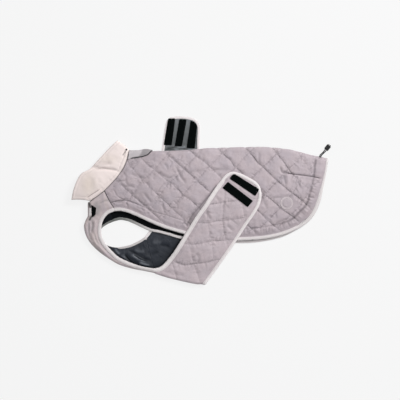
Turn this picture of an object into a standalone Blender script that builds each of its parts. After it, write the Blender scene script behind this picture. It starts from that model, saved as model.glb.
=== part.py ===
"""Quilted winter coat for a small dog, laid flat on its side with both belly flaps open.

Frame: metres, +Z up, tail along +X, spine along +Y, resting on z = 0.
Tables are in millimetres. The near layers are the upper ones, the far layers lie on the floor.
"""
import math

import bpy
import numpy as np
from mathutils import Vector

MM = 0.001

# Grid rows of the back and the belly band before their fold rows
FOLD_ROW_OF_BACK = 3 + 9 + 3
FOLD_ROW_OF_BAND = 3 + 2 + 12 + 6

# Cloth and trim
CLOTH = 3.0                # outer, wadding and lining together
SEAM = 0.28                # back and chest panels stop this far short of their seam line
COLLAR_SEAM = 0.46
BELLY_SEAM = 0.35
BINDING_WIDTH = 7.8
BINDING_GAP = 0.3
HOOK_TAPE = 1.4
TAB_CLOTH = 1.2
PATCH_RADIUS = 14.5
PATCH_CLOTH = 0.8

# Heights between the middle of the upper layer and the middle of the lower one
GAP_AT_HEM = 8.0
GAP_RISE = 5.0
GAP_PILLOW = 2.5
GAP_RISE_LENGTH = 90.0
BAND_LIFT = 3.4            # far back lies over the belly band
FLAP_REST = 4.3            # near flap lies on the near back
FOLD_WIDTH = 5.5           # half width of the rounded spine and throat folds
BELLY_FOLD_WIDTH = 4.0

# Outlines, each an (x, y) path
SPINE = [(-160.4, 108.4), (-112, 108.2), (-56, 108.8), (16, 114.3), (76, 116.4), (148, 117),
         (202, 111), (248, 99.5), (280.8, 93.3)]
NECK_NEAR = [(-160.4, 108.4), (-163, 94), (-171, 74), (-184, 54), (-199, 37), (-214.9, 20.9)]
NECK_THROAT = [(-214.9, 20.9), (-232, 8), (-250.9, -6)]
NECK_FAR = [(-160.4, 108.4), (-164, 92), (-172, 71), (-185, 50), (-200, 31), (-214.9, 14)]
NECK_THROAT_FAR = [(-214.9, 14), (-232, 4), (-250.9, -6)]
SHOULDER_NEAR = [(-214.9, 20.9), (-206, 2.5), (-194, -17.5)]
SHOULDER_FAR = [(-214.9, 14), (-207, -8), (-197, -41)]
HEM_NEAR = [(-194, -17.5), (-179, -16.5), (-162, -20), (-138, -29.5), (-113, -41), (-90, -51),
            (-66, -59.5), (-22, -71.5), (22, -79.5), (76, -83), (126, -81), (156, -77.2),
            (188, -69.3), (220.5, -55.6)]
RUMP_NEAR = [(280.8, 93.3), (276, 62.5), (268, 28), (258.5, -6.5), (243.5, -35), (220.5, -55.6)]
HEM_FAR = [(-197, -41), (-180, -36.8), (-160, -40), (-138, -49.5), (-112, -61.5), (-90, -66),
           (-67, -72), (-43, -79), (0, -84), (56, -88), (101, -89), (124, -87.5), (156, -82.5),
           (188, -73.5), (218.5, -57.5)]
RUMP_FAR = [(280.8, 93.3), (276, 62.5), (266.5, 28), (256.5, -6.5), (241.5, -36.5), (218.5, -57.5)]
CHEST_FOLD = [(-250.9, -6), (-250.6, -24), (-251, -37), (-256, -47), (-259.3, -58), (-257.3, -72),
              (-251, -87), (-241, -101), (-225, -116), (-207, -129), (-184, -143.3),
              (-158, -152.3), (-130, -158.5), (-101.3, -164.3)]
LEG_NEAR = [(-194, -17.5), (-211, -25), (-223, -39), (-229, -57), (-229.3, -76), (-225, -92),
            (-213, -109.5), (-190, -132.5), (-168, -144.3), (-146, -152.5), (-124, -157.6),
            (-101.9, -161.6)]
LEG_FAR = [(-197, -41), (-213, -48), (-228, -59.5), (-235.5, -78), (-229.5, -95.5),
           (-215, -108), (-200, -114), (-182, -116), (-153, -111.5), (-131, -102.5),
           (-117, -92.5)]
BELLY_FOLD = [(-101.3, -164.3), (-68, -174.4), (-36, -182), (-11, -187), (3.5, -188.6)]
NEAR_FLAP_FRONT = [(-101.3, -164.3), (-100.9, -161.6), (-90, -159.2), (-80, -153.5), (-66, -138.5),
                   (-47, -112.5), (-15, -60.5), (7, -24.5), (28.5, 9), (45, 33), (52.5, 42.5)]
NEAR_FLAP_TIP = [(52.5, 42.5), (58.5, 49), (68.5, 55), (78.5, 55), (98, 47.5), (119.5, 35.3),
                 (126.5, 28)]
NEAR_FLAP_BACK = [(3.5, -188.6), (15.2, -173), (38, -141.5), (69.5, -96.5), (94, -58.5),
                  (119, -22.2), (128.3, -1.5), (130, 14.5), (126.5, 28)]
CHEST_SEAM = [(-101.3, -164.3), (-109.5, -128), (-117, -92.5)]
FAR_FLAP_FRONT = [(-117, -92.5), (-107.5, -78), (-100, -56), (-89, 22), (-80, 112),
                  (-71.5, 168), (-67, 178)]
FAR_FLAP_TIP = [(-67, 178), (-62, 181), (-40, 182.2), (-20, 179.2), (-10.5, 174)]
FAR_FLAP_BACK = [(3.5, -188.6), (1.8, -124), (-2, -34), (-7, 112), (-6, 160), (-10.5, 174)]
COLLAR_NAPE = [(-160.4, 108.4), (-162, 114), (-174, 125), (-187, 132.7)]
COLLAR_RIM = [(-187, 132.7), (-207, 113.5), (-230, 88.5), (-248, 69.5), (-266, 59.5),
              (-276.5, 43), (-284.5, 21), (-288.4, 0.5)]
COLLAR_RIM_FAR = [(-187, 132.7), (-205, 112), (-228, 87), (-246, 67.5), (-263.5, 57.5),
                  (-274, 42), (-281.5, 21), (-285.4, 2)]
COLLAR_END = [(-246.5, -1.8), (-268, 0.8), (-288.4, 0.5)]
COLLAR_END_FAR = [(-246.5, -1.8), (-266, 2.4), (-285.4, 2)]

# Lower edge of the trunk and the two sides of the belly band, for the heights
HEM_LINE = [(-290, -75), (-250, -72), (-196, -30), (-112, -50), (-22, -80), (76, -91),
            (158, -85), (225, -63), (266, -9), (290, 93)]
BAND_SIDE_SLOPE = 0.13
BAND_FRONT_X = -108.0
BAND_BACK_X = 4.0

# Soft folds pressed into the upper layers: (x0, y0, x1, y1, depth, width)
FOLDS = [(-243, 73, -180, 64, 2.4, 8.0), (-262, 14, -238, 44, -1.5, 16.0),
         (252, 92, 238, 8, 1.6, 11.0), (238, 8, 178, -56, 1.2, 11.0), (205, 58, 270, 48, 1.4, 10.0)]

# Corners of the flat trim, in order round each piece
NEAR_TAPES = [[(66.8, 48.2), (75.5, 58.5), (131.5, 23.8), (123.5, 9.9)],
              [(51.8, 27), (62.8, 40), (117.7, -1.8), (106.7, -15.3)]]
FAR_TAPES = [[(-70.9, 181.5), (-56.3, 182.3), (-64.1, 122.6), (-81, 122.6)],
             [(-46.1, 181.1), (-31.5, 180.2), (-40.5, 120.8), (-55.1, 120.8)],
             [(-20.3, 178.2), (-9.2, 171), (-11.1, 117.6), (-28.1, 117.2)]]
THROAT_PAD = [(-243, -11.5), (-233.5, -18), (-235.2, -32.6), (-242.5, -38.5)]
THROAT_TAB = [(-249, -18), (-244, -18), (-244, -35), (-249, -37)]
COLLAR_TAB = [(-223.8, 24), (-219.2, 19.5), (-245.5, 1.4), (-252.6, 3.4)]
PATCH_CENTRE = (194.6, -6.8)
SNAP_CENTRE = (-167.4, 110.4)
SNAP_RADIUS = 2.2

# Leash placket along the spine: (distance from the neck seam, width down the near side)
PLACKET = [(1.0, 21.5), (14.0, 19.2), (28.0, 16.0), (41.0, 11.4), (48.0, 6.5), (54.0, 1.5)]
PLACKET_PAST_FOLD = 3.0
LIP_HEIGHT = 3.2
LIP_AT = 39.0
LIP_LENGTH = 12.0

# Drawcord, eyelet and toggle
EYELET_AT = 432.0          # along the spine from the neck seam
EYELET_DOWN = 4.0          # down the near side from the spine fold
EYELET_RADIUS = 4.6
EYELET_HOLE_RADIUS = 3.1
EYELET_HEIGHT = 1.4
CORD_DIAMETER = 2.2
CORD_SPACING = 3.6
CORD_LIFT = 4.0
TOGGLE_PLACE = (286.8, 117.8)
TOGGLE_ALONG = (0.62, 0.785)
TOGGLE_LENGTH = 12.0
TOGGLE_WIDTH = 10.4
TOGGLE_HEIGHT = 6.4
CORD_HOLE_DIAMETER = 2.8
CORD_END_PAST_TOGGLE = 2.0


def clear_scene():
    for item in list(bpy.data.objects):
        bpy.data.objects.remove(item, do_unlink=True)


def ease(value):
    share = np.clip(value, 0.0, 1.0)
    return share * share * (3.0 - 2.0 * share)


def length_along(path):
    steps = np.linalg.norm(np.diff(path, axis=0), axis=1)
    return np.concatenate([[0.0], np.cumsum(steps)])


def smooth(points, per_span=14):
    """A smooth path through a few points."""
    given = np.array(points, float)
    ends = np.vstack([2 * given[0] - given[1], given, 2 * given[-1] - given[-2]])
    path = []
    for k in range(len(given) - 1):
        p0, p1, p2, p3 = ends[k:k + 4]
        for t in np.linspace(0.0, 1.0, per_span, endpoint=False):
            path.append(0.5 * (2 * p1 + (p2 - p0) * t + (2 * p0 - 5 * p1 + 4 * p2 - p3) * t * t
                               + (3 * p1 - 3 * p2 + p3 - p0) * t ** 3))
    path.append(given[-1])
    return np.array(path)


def at(path, share):
    """The point at a share of a path's length."""
    along = length_along(path)
    want = np.asarray(share) * along[-1]
    return np.stack([np.interp(want, along, path[:, k]) for k in range(path.shape[1])], axis=-1)


def moved_left(path, distance):
    """A flat path moved sideways, to its left."""
    step = np.gradient(path, axis=0)
    step /= np.maximum(np.linalg.norm(step, axis=1), 1e-9)[:, None]
    return path + distance * np.column_stack([-step[:, 1], step[:, 0]])


def joined(*paths):
    return np.vstack([paths[0]] + [path[1:] for path in paths[1:]])


def hem_y(x):
    path = smooth(HEM_LINE)
    return np.interp(x, path[:, 0], path[:, 1])


def fold_depth(x, y):
    """How far the pressed folds push the upper layer down."""
    total = 0.0 * x
    for x0, y0, x1, y1, depth, width in FOLDS:
        dx, dy = x1 - x0, y1 - y0
        share = np.clip(((x - x0) * dx + (y - y0) * dy) / (dx * dx + dy * dy), 0.0, 1.0)
        away = np.hypot(x - x0 - share * dx, y - y0 - share * dy)
        total = total + depth * np.exp(-(away / width) ** 2)
    return total


def layer_gap(x, y):
    """Height from the middle of the lower layer to the middle of the upper one."""
    rise = y - hem_y(x)
    share = np.clip(rise / (112.0 - hem_y(x)), 0.0, 1.0)
    return GAP_AT_HEM + GAP_RISE * ease(rise / GAP_RISE_LENGTH) + GAP_PILLOW * np.sin(np.pi * share)


def band_rise(x, y, ramp):
    """1 over the belly band, falling to 0 beside it."""
    front = BAND_FRONT_X + BAND_SIDE_SLOPE * y - 5.0
    back = BAND_BACK_X + 9.0
    return ease((x - front + ramp) / ramp) * ease((back + ramp - x) / ramp)


def floor_level(x, y):
    return CLOTH / 2 + 0.0 * x


def far_back_level(x, y):
    return CLOTH / 2 + BAND_LIFT * band_rise(x, y, 34.0)


def chest_level(x, y):
    return CLOTH / 2 + layer_gap(x, y) - fold_depth(x, y)


def near_back_level(x, y):
    return chest_level(x, y) + BAND_LIFT * band_rise(x, y, 34.0)


def near_flap_level(x, y):
    on_back = ease((y - hem_y(x) + 80.0) / 62.0)
    return chest_level(x, y) + (BAND_LIFT * band_rise(x, y, 34.0) + FLAP_REST) * on_back


def between(paths, u, shares, hold):
    """Points from fold to edge at one column, each side path bending the columns near it.

    A larger hold keeps a side's bend closer to that side.
    """
    fold, edge, side0, side1 = paths
    s = np.asarray(shares)[:, None]
    line = (1 - s) * at(fold, u) + s * at(edge, u)
    bend0 = at(side0, s[:, 0]) - (1 - s) * fold[0] - s * edge[0]
    bend1 = at(side1, s[:, 0]) - (1 - s) * fold[-1] - s * edge[-1]
    return line + (1 - u) ** hold * bend0 + u ** hold * bend1


def row_places(width, shares, fold_width):
    """Distances from a fold, with the turn angle there, for shares of the way to the edge."""
    whole_turn = fold_width * math.pi / 2
    if width > fold_width:
        total = whole_turn + width - fold_width
    else:
        total = fold_width * math.acos(1 - width / fold_width)
    run = total * np.asarray(shares)
    turn = np.minimum(run / fold_width, math.pi / 2)
    return fold_width * (1 - np.cos(turn)) + np.maximum(run - whole_turn, 0.0), turn


def half_panel(paths, columns, rows, fold_width, hold):
    """Plan places and turn angles from the fold to one edge, for each column."""
    plan, turns = [], []
    for u in columns:
        width = length_along(between(paths, u, np.linspace(0, 1, 101), hold))[-1]
        shares = rows(width) if callable(rows) else rows
        apart, turn = row_places(width, shares, fold_width)
        plan.append(between(paths, u, np.clip(apart / width, 0.0, 1.0), hold))
        turns.append(turn)
    return np.array(plan), np.array(turns)


def fold_then_even(fold_width, stops):
    """Rows for a wide panel: three steps round the fold, then even steps between stops.

    Each stop is (share of the flat part, steps up to it).
    """
    def rows(width):
        whole_turn = fold_width * math.pi / 2
        total = whole_turn + width - fold_width
        runs = [whole_turn * k / 3 for k in range(4)]
        before = 0.0
        for share, steps in stops:
            flat = np.linspace(before, share, steps + 1)[1:]
            runs += list(whole_turn + (width - fold_width) * flat)
            before = share
        return np.array(runs) / total
    return rows


def folded_panel(near, far, columns, near_rows, far_rows, fold_width, upper, lower, hold=1):
    """Middle surface of a panel folded over, with normals: near edge, fold, far edge."""
    near_plan, near_turn = half_panel(near, columns, near_rows, fold_width, hold)
    far_plan, far_turn = half_panel(far, columns, far_rows, fold_width, hold)
    plan = np.concatenate([near_plan[:, ::-1], far_plan[:, 1:]], axis=1)
    turn = np.concatenate([near_turn[:, ::-1], -far_turn[:, 1:]], axis=1)
    x, y = plan[..., 0], plan[..., 1]
    top, bottom = upper(x, y), lower(x, y)
    points = np.dstack([x, y, (top + bottom) / 2 + (top - bottom) / 2 * np.sin(turn)])
    normals = np.cross(np.gradient(points, axis=0), np.gradient(points, axis=1))
    return points, normals / np.maximum(np.linalg.norm(normals, axis=2), 1e-9)[..., None]


def shared_normals(own, own_normals, others):
    """Normals at a seam row, averaged with the panels that meet it there."""
    averaged = own_normals.copy()
    for points, facing in others:
        for k, point in enumerate(own):
            away = np.linalg.norm(points - point, axis=1)
            nearest = np.argsort(away)[:2]
            if away[nearest[0]] < 4.0:
                weight = 1.0 / (away[nearest] + 0.05)
                theirs = (facing[nearest] * weight[:, None]).sum(axis=0)
                theirs /= np.linalg.norm(theirs)
                averaged[k] += math.copysign(1.0, np.dot(theirs, own_normals[k])) * theirs
    return averaged / np.linalg.norm(averaged, axis=1)[:, None]


def on_panel(panel, i, j):
    """Point and normal at fractional grid places."""
    points, normals = panel
    i = min(max(i, 0.0), points.shape[0] - 1.001)
    j = min(max(j, 0.0), points.shape[1] - 1.001)
    i0, j0 = int(i), int(j)
    a, b = i - i0, j - j0
    found = []
    for values in (points, normals):
        low = (1 - a) * values[i0, j0] + a * values[i0 + 1, j0]
        high = (1 - a) * values[i0, j0 + 1] + a * values[i0 + 1, j0 + 1]
        found.append((1 - b) * low + b * high)
    return found[0], found[1] / np.linalg.norm(found[1])


def down_from_fold(panel, fold_row, i, distance):
    """The row place at a distance over the cloth from the fold, near side positive."""
    rows = panel[0].shape[1]
    line = np.array([on_panel(panel, i, j)[0] for j in range(rows)])
    run = length_along(line)
    return float(np.interp(run[fold_row] - distance, run, np.arange(rows)))


def add_mesh(name, vertices, faces, material):
    if signed_volume(vertices, faces) < 0:
        faces = [face[::-1] for face in faces]
    mesh = bpy.data.meshes.new(name)
    mesh.from_pydata([tuple(float(v) * MM for v in vertex) for vertex in vertices], [], faces)
    mesh.update()
    mesh.shade_smooth()
    mesh.set_sharp_from_angle(angle=math.radians(40.0))
    mesh.materials.append(material)
    item = bpy.data.objects.new(name, mesh)
    bpy.context.scene.collection.objects.link(item)
    return item


def signed_volume(vertices, faces):
    total = 0.0
    for face in faces:
        for k in range(1, len(face) - 1):
            a, b, c = vertices[face[0]], vertices[face[k]], vertices[face[k + 1]]
            total += float(np.dot(a, np.cross(b, c)))
    return total


def wall(name, points, normals, thickness, material):
    """A closed cloth wall on both sides of a grid of middle points."""
    rows, columns = points.shape[:2]
    upper = (points + normals * thickness / 2).reshape(-1, 3)
    lower = (points - normals * thickness / 2).reshape(-1, 3)
    count = rows * columns
    faces = []
    for i in range(rows - 1):
        for j in range(columns - 1):
            a, b = i * columns + j, i * columns + j + 1
            c, d = b + columns, a + columns
            faces.append((a, d, c, b))
            faces.append((a + count, b + count, c + count, d + count))
    rim = list(range(columns))
    rim += [i * columns + columns - 1 for i in range(1, rows)]
    rim += [(rows - 1) * columns + j for j in range(columns - 2, -1, -1)]
    rim += [i * columns for i in range(rows - 2, 0, -1)]
    for k, a in enumerate(rim):
        b = rim[(k + 1) % len(rim)]
        faces.append((a, b, b + count, a + count))
    return add_mesh(name, np.vstack([upper, lower]), faces, material)


def sweep(name, rings, material):
    """A closed bar through rings with the same number of points."""
    count, sides = rings.shape[:2]
    faces = []
    for k in range(count - 1):
        for s in range(sides):
            a, b = k * sides + s, k * sides + (s + 1) % sides
            faces.append((a, b, b + sides, a + sides))
    faces.append(tuple(range(sides))[::-1])
    faces.append(tuple((count - 1) * sides + s for s in range(sides)))
    return add_mesh(name, rings.reshape(-1, 3), faces, material)


def tape(name, edge, normals, outward, end_steps, material):
    """A binding with a rounded free edge, just outside a panel's edge."""
    step = np.gradient(edge, axis=0)
    step /= np.linalg.norm(step, axis=1)[:, None]
    step[0], step[-1] = end_steps
    out = np.cross(step, normals)
    out /= np.linalg.norm(out, axis=1)[:, None]
    if np.dot(out[0], outward) < 0:
        out = -out
    start = edge + out * BINDING_GAP
    start[0] += step[0] * SEAM
    start[-1] -= step[-1] * SEAM
    half, width = CLOTH / 2, BINDING_WIDTH
    profile = [(0.0, half), (0.75 * width, half), (width, 0.0), (0.85 * width, -half), (0.0, -half)]
    rings = np.array([start + out * across + normals * up for across, up in profile])
    rings[..., 2] = np.maximum(rings[..., 2], 0.0)
    return sweep(name, rings.transpose(1, 0, 2), material)


def laid_piece(name, corners, level, thickness, divisions, material):
    """A flat piece between four corners, lying on a layer."""
    quad = np.array(corners, float)
    s, t = np.meshgrid(np.linspace(0, 1, divisions[0] + 1), np.linspace(0, 1, divisions[1] + 1),
                       indexing="ij")
    s, t = s[..., None], t[..., None]
    plan = ((1 - s) * (1 - t) * quad[0] + (1 - s) * t * quad[1] + s * t * quad[2]
            + s * (1 - t) * quad[3])
    height = level(plan[..., 0], plan[..., 1]) + CLOTH / 2 + 0.3 + thickness / 2
    points = np.dstack([plan, height])
    up = np.zeros_like(points)
    up[..., 2] = 1.0
    return wall(name, points, up, thickness, material)


def disc(name, centre, radius, level, thickness, sides, material):
    """A round piece lying on a layer."""
    angles = np.linspace(0, 2 * math.pi, sides, endpoint=False)
    radii = [0.5 * radius, radius]
    x = np.array([centre[0]] + [centre[0] + r * math.cos(a) for r in radii for a in angles])
    y = np.array([centre[1]] + [centre[1] + r * math.sin(a) for r in radii for a in angles])
    low = level(x, y) + CLOTH / 2 + 0.3
    vertices = np.vstack([np.column_stack([x, y, low + thickness]), np.column_stack([x, y, low])])
    count = 1 + 2 * sides
    faces = []
    for k in range(sides):
        a, b = 1 + k, 1 + (k + 1) % sides
        faces += [(0, a, b), (count, b + count, a + count)]
        faces += [(a, a + sides, b + sides, b)]
        faces += [(a + count, b + count, b + sides + count, a + sides + count)]
        faces += [(a + sides, a + sides + count, b + sides + count, b + sides)]
    return add_mesh(name, vertices, faces, material)


def ring(name, centre, axis, outer, inner, height, material):
    axis = axis / np.linalg.norm(axis)
    side = np.cross(axis, [0.0, 0.0, 1.0])
    side /= np.linalg.norm(side)
    other = np.cross(axis, side)
    sides = 20
    profile = [(inner, -height / 2), (outer, -height / 2), (outer, height * 0.2),
               (outer - 0.5, height / 2), (inner, height / 2)]
    vertices, faces = [], []
    for k in range(sides):
        angle = 2 * math.pi * k / sides
        out = side * math.cos(angle) + other * math.sin(angle)
        vertices += [centre + out * r + axis * h for r, h in profile]
        for s in range(len(profile)):
            a, b = k * 5 + s, k * 5 + (s + 1) % 5
            c = ((k + 1) % sides) * 5
            faces.append((a, b, c + (s + 1) % 5, c + s))
    return add_mesh(name, np.array(vertices), faces, material)


def cord(name, path, diameter, material):
    """A round cord along a smooth path."""
    places = smooth(path, 8)
    count = max(4, int(length_along(places)[-1] / (2.2 * diameter)) + 1)
    points = at(places, np.linspace(0, 1, count))
    data = bpy.data.curves.new(name, "CURVE")
    data.dimensions = "3D"
    data.bevel_depth = diameter / 2 * MM
    data.bevel_resolution = 2
    data.use_fill_caps = True
    line = data.splines.new("POLY")
    line.points.add(count - 1)
    for spot, point in zip(line.points, points):
        spot.co = (*(float(v) * MM for v in point), 1.0)
    data.materials.append(material)
    item = bpy.data.objects.new(name, data)
    bpy.context.scene.collection.objects.link(item)
    return item


def material(name, colour, roughness, metallic=0.0):
    made = bpy.data.materials.new(name)
    made.use_nodes = True
    shader = made.node_tree.nodes["Principled BSDF"]
    shader.inputs["Base Color"].default_value = (*colour, 1.0)
    shader.inputs["Roughness"].default_value = roughness
    shader.inputs["Metallic"].default_value = metallic
    return made


def back_panel():
    """Front row runs along the neck and shoulder seams, back row along the rump hem."""
    near_neck, far_neck = smooth(NECK_NEAR), smooth(NECK_FAR)
    near_side = moved_left(joined(near_neck, smooth(SHOULDER_NEAR)), SEAM)
    far_side = moved_left(joined(far_neck, smooth(SHOULDER_FAR)), SEAM)
    near_stop = shoulder_share(near_neck, near_side)
    far_stop = shoulder_share(far_neck, far_side)
    near = (smooth(SPINE), smooth(HEM_NEAR), near_side, smooth(RUMP_NEAR))
    far = (smooth(SPINE), smooth(HEM_FAR), far_side, smooth(RUMP_FAR))
    return folded_panel(near, far, np.linspace(0.0, 1.0, 28),
                        fold_then_even(FOLD_WIDTH, [(near_stop, 9), (1.0, 3)]),
                        fold_then_even(FOLD_WIDTH, [(far_stop, 4), (1.0, 3)]),
                        FOLD_WIDTH, near_back_level, far_back_level)


def shoulder_share(neck, side):
    length = length_along(neck)[-1]
    return (length - FOLD_WIDTH) / (length_along(side)[-1] - FOLD_WIDTH)


def collar_panel():
    """Front row runs along the neck seam, back row along the rim."""
    near_neck, far_neck = smooth(NECK_NEAR), smooth(NECK_FAR)
    near_throat = smooth([NECK_NEAR[-1], NECK_THROAT[1], COLLAR_END[0]])
    far_throat = smooth([NECK_FAR[-1], NECK_THROAT_FAR[1], COLLAR_END_FAR[0]])
    near_side = moved_left(joined(near_neck, near_throat), -COLLAR_SEAM)
    far_side = moved_left(joined(far_neck, far_throat), -COLLAR_SEAM)
    near_stop = shoulder_share(near_neck, near_side)
    far_stop = shoulder_share(far_neck, far_side)
    near = (smooth(COLLAR_NAPE), smooth(COLLAR_END), near_side, smooth(COLLAR_RIM))
    far = (smooth(COLLAR_NAPE), smooth(COLLAR_END_FAR), far_side, smooth(COLLAR_RIM_FAR))
    return folded_panel(near, far, np.linspace(0.0, 1.0, 10),
                        fold_then_even(FOLD_WIDTH, [(near_stop, 9), (1.0, 5)]),
                        fold_then_even(FOLD_WIDTH, [(far_stop, 4), (1.0, 3)]),
                        FOLD_WIDTH, chest_level, floor_level)


def chest_panel():
    """Front row runs along the throat and shoulder seams, back row along the belly seam."""
    near_throat, far_throat = smooth(NECK_THROAT)[::-1], smooth(NECK_THROAT_FAR)[::-1]
    near_side = moved_left(joined(near_throat, smooth(SHOULDER_NEAR)), -SEAM)
    far_side = moved_left(joined(far_throat, smooth(SHOULDER_FAR)), -SEAM)
    fold = smooth(CHEST_FOLD)
    shift = [-BELLY_SEAM, 0.0]
    near = (fold, smooth(LEG_NEAR), near_side, smooth([CHEST_FOLD[-1], LEG_NEAR[-1]]) + shift)
    far = (fold, smooth(LEG_FAR), far_side, smooth(CHEST_SEAM) + shift)
    whole_turn = BELLY_FOLD_WIDTH * math.pi / 2
    shares = []
    for throat, side, before, after in ((near_throat, near_side, 6, 3), (far_throat, far_side, 6, 3)):
        total = whole_turn + length_along(side)[-1] - BELLY_FOLD_WIDTH
        stop = (whole_turn + length_along(throat)[-1] - BELLY_FOLD_WIDTH) / total
        first = stop * np.linspace(0.0, 1.0, before + 1) ** 1.7
        shares.append(np.concatenate([first, np.linspace(stop, 1.0, after + 1)[1:]]))
    return folded_panel(near, far, np.linspace(0.0, 1.0, 22), shares[0], shares[1],
                        BELLY_FOLD_WIDTH, chest_level, floor_level, hold=9)


def belly_band():
    """Columns run across the band; rows run from the near tip, round the belly, to the far tip."""
    shift = [BELLY_SEAM, 0.0]
    fold = smooth(BELLY_FOLD)
    far_side = joined(smooth(CHEST_SEAM), smooth(FAR_FLAP_FRONT))
    near = (fold, smooth(NEAR_FLAP_TIP), smooth(NEAR_FLAP_FRONT) + shift, smooth(NEAR_FLAP_BACK))
    far = (fold, smooth(FAR_FLAP_TIP), far_side + shift, smooth(FAR_FLAP_BACK))
    seam = length_along(smooth(CHEST_SEAM))[-1]
    stop = (seam - BELLY_FOLD_WIDTH) / (length_along(far_side)[-1] - BELLY_FOLD_WIDTH)
    columns = [0.0, 0.1, 0.24, 0.38, 0.52, 0.66, 0.8, 0.92, 1.0]
    return folded_panel(near, far, columns,
                        fold_then_even(BELLY_FOLD_WIDTH, [(0.06, 2), (0.8, 12), (1.0, 6)]),
                        fold_then_even(BELLY_FOLD_WIDTH, [(stop, 4), (0.86, 8), (1.0, 5)]),
                        BELLY_FOLD_WIDTH, near_flap_level, floor_level)


def seam_step(first, second):
    """The direction shared by two bindings that meet end to end."""
    step = first - second
    return step / np.linalg.norm(step)


def back_binding(back, chest, cloth):
    points, normals = back
    edge = np.vstack([points[:, 0], points[-1, 1:], points[-2::-1, -1]])
    facing = np.vstack([normals[:, 0], normals[-1, 1:], normals[-2::-1, -1]])
    ends = (seam_step(points[1, 0], chest[0][1, 0]), seam_step(chest[0][1, -1], points[1, -1]))
    return tape("back_binding", edge, facing, np.array([0.0, -1.0, 0.0]), ends, cloth)


def leg_binding(chest, band, back, cloth):
    """From the near shoulder round the near leg, both flaps and the far leg to the far shoulder."""
    chest_points, chest_normals = chest
    points, normals = band
    near_from = FOLD_ROW_OF_BAND - 2
    far_to = FOLD_ROW_OF_BAND + 3 + 4
    runs = [(chest_points[:, 0], chest_normals[:, 0]),
            (points[0, near_from::-1], normals[0, near_from::-1]),
            (points[1:, 0], normals[1:, 0]),
            (points[-1, 1:], normals[-1, 1:]),
            (points[-2::-1, -1], normals[-2::-1, -1]),
            (points[0, -2:far_to - 1:-1], normals[0, -2:far_to - 1:-1]),
            (chest_points[::-1, -1], chest_normals[::-1, -1])]
    facing = [runs[0][1]]
    for place, normal in runs[1:]:
        turned = np.dot(facing[-1][-1], normal[0]) < 0
        facing.append(-normal if turned else normal)
    edge = np.vstack([place for place, _ in runs])
    ends = (seam_step(chest_points[1, 0], back[0][1, 0]), seam_step(back[0][1, -1], chest_points[1, -1]))
    return tape("leg_binding", edge, np.vstack(facing), np.array([0.0, -1.0, 0.0]), ends, cloth)


def leash_placket(back, cloth):
    """A lip sewn over the spine fold behind the neck seam, raised at its end."""
    table = np.array(PLACKET)
    spine = length_along(back[0][:, FOLD_ROW_OF_BACK])
    rows, points, normals = 6, [], []
    for along in np.linspace(PLACKET[0][0], PLACKET[-1][0], 11):
        i = float(np.interp(along, spine, np.arange(len(spine))))
        width = np.interp(along, table[:, 0], table[:, 1])
        line, facing = [], []
        for k in range(rows + 1):
            down = -PLACKET_PAST_FOLD + (width + PLACKET_PAST_FOLD) * k / rows
            place, normal = on_panel(back, i, down_from_fold(back, FOLD_ROW_OF_BACK, i, down))
            raised = math.exp(-((along - LIP_AT) / LIP_LENGTH) ** 2 - ((down - 1.0) / 3.5) ** 2)
            if normal[2] < 0 and down > 0:
                normal = -normal
            line.append(place + normal * (CLOTH / 2 + 0.9 + TAB_CLOTH / 2 + LIP_HEIGHT * raised))
            facing.append(normal)
        points.append(line)
        normals.append(facing)
    return wall("leash_placket", np.array(points), np.array(normals), TAB_CLOTH, cloth)


def drawcord(back, black, metal):
    """Two cord ends from one eyelet at the tail, held in one toggle."""
    spine = length_along(back[0][:, FOLD_ROW_OF_BACK])
    i = float(np.interp(EYELET_AT, spine, np.arange(len(spine))))
    j = down_from_fold(back, FOLD_ROW_OF_BACK, i, EYELET_DOWN)
    place, normal = on_panel(back, i, j)
    if normal[2] < 0:
        normal = -normal
    face = place + normal * CLOTH / 2
    ring("eyelet", face + normal * (0.5 + EYELET_HEIGHT / 2), normal, EYELET_RADIUS,
         EYELET_HOLE_RADIUS, EYELET_HEIGHT, metal)
    along = np.array([*TOGGLE_ALONG, 0.0])
    along /= np.linalg.norm(along)
    side = np.array([along[1], -along[0], 0.0])
    centre = np.array([*TOGGLE_PLACE, TOGGLE_HEIGHT / 2])
    lead_in = centre - along * (TOGGLE_LENGTH / 2 + 6.0)
    near_end = centre - along * (TOGGLE_LENGTH / 2 + 1.0)
    far_end = centre + along * (TOGGLE_LENGTH / 2 + CORD_END_PAST_TOGGLE)
    start = face + normal * 1.35
    top = face + normal * CORD_LIFT + along * 1.2
    middle = (top * 0.5 + lead_in * 0.5) + np.array([0.0, 0.0, 0.8])
    rings = []
    for share, size in ((-0.5, 0.78), (-0.4, 1.0), (0.4, 1.0), (0.5, 0.78)):
        ring_points = []
        for k in range(16):
            angle = 2 * math.pi * (k + 0.5) / 16
            across = math.copysign(abs(math.cos(angle)) ** 0.55, math.cos(angle))
            up = math.copysign(abs(math.sin(angle)) ** 0.55, math.sin(angle))
            ring_points.append(centre + along * share * TOGGLE_LENGTH
                               + side * across * size * TOGGLE_WIDTH / 2
                               + np.array([0, 0, 1.0]) * up * size * TOGGLE_HEIGHT / 2)
        rings.append(ring_points)
    toggle = sweep("toggle", np.array(rings), black)
    for number, sign in ((1, -1), (2, 1)):
        shift = side * sign * CORD_SPACING / 2
        path = [start + shift * 0.8, top + shift * 0.9, middle + shift, lead_in + shift,
                near_end + shift, centre + shift, far_end + shift]
        cord(f"hem_cord_{number}", path, CORD_DIAMETER, black)
        cut_hole(toggle, f"cord_hole_{number}", centre + shift, along)


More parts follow.
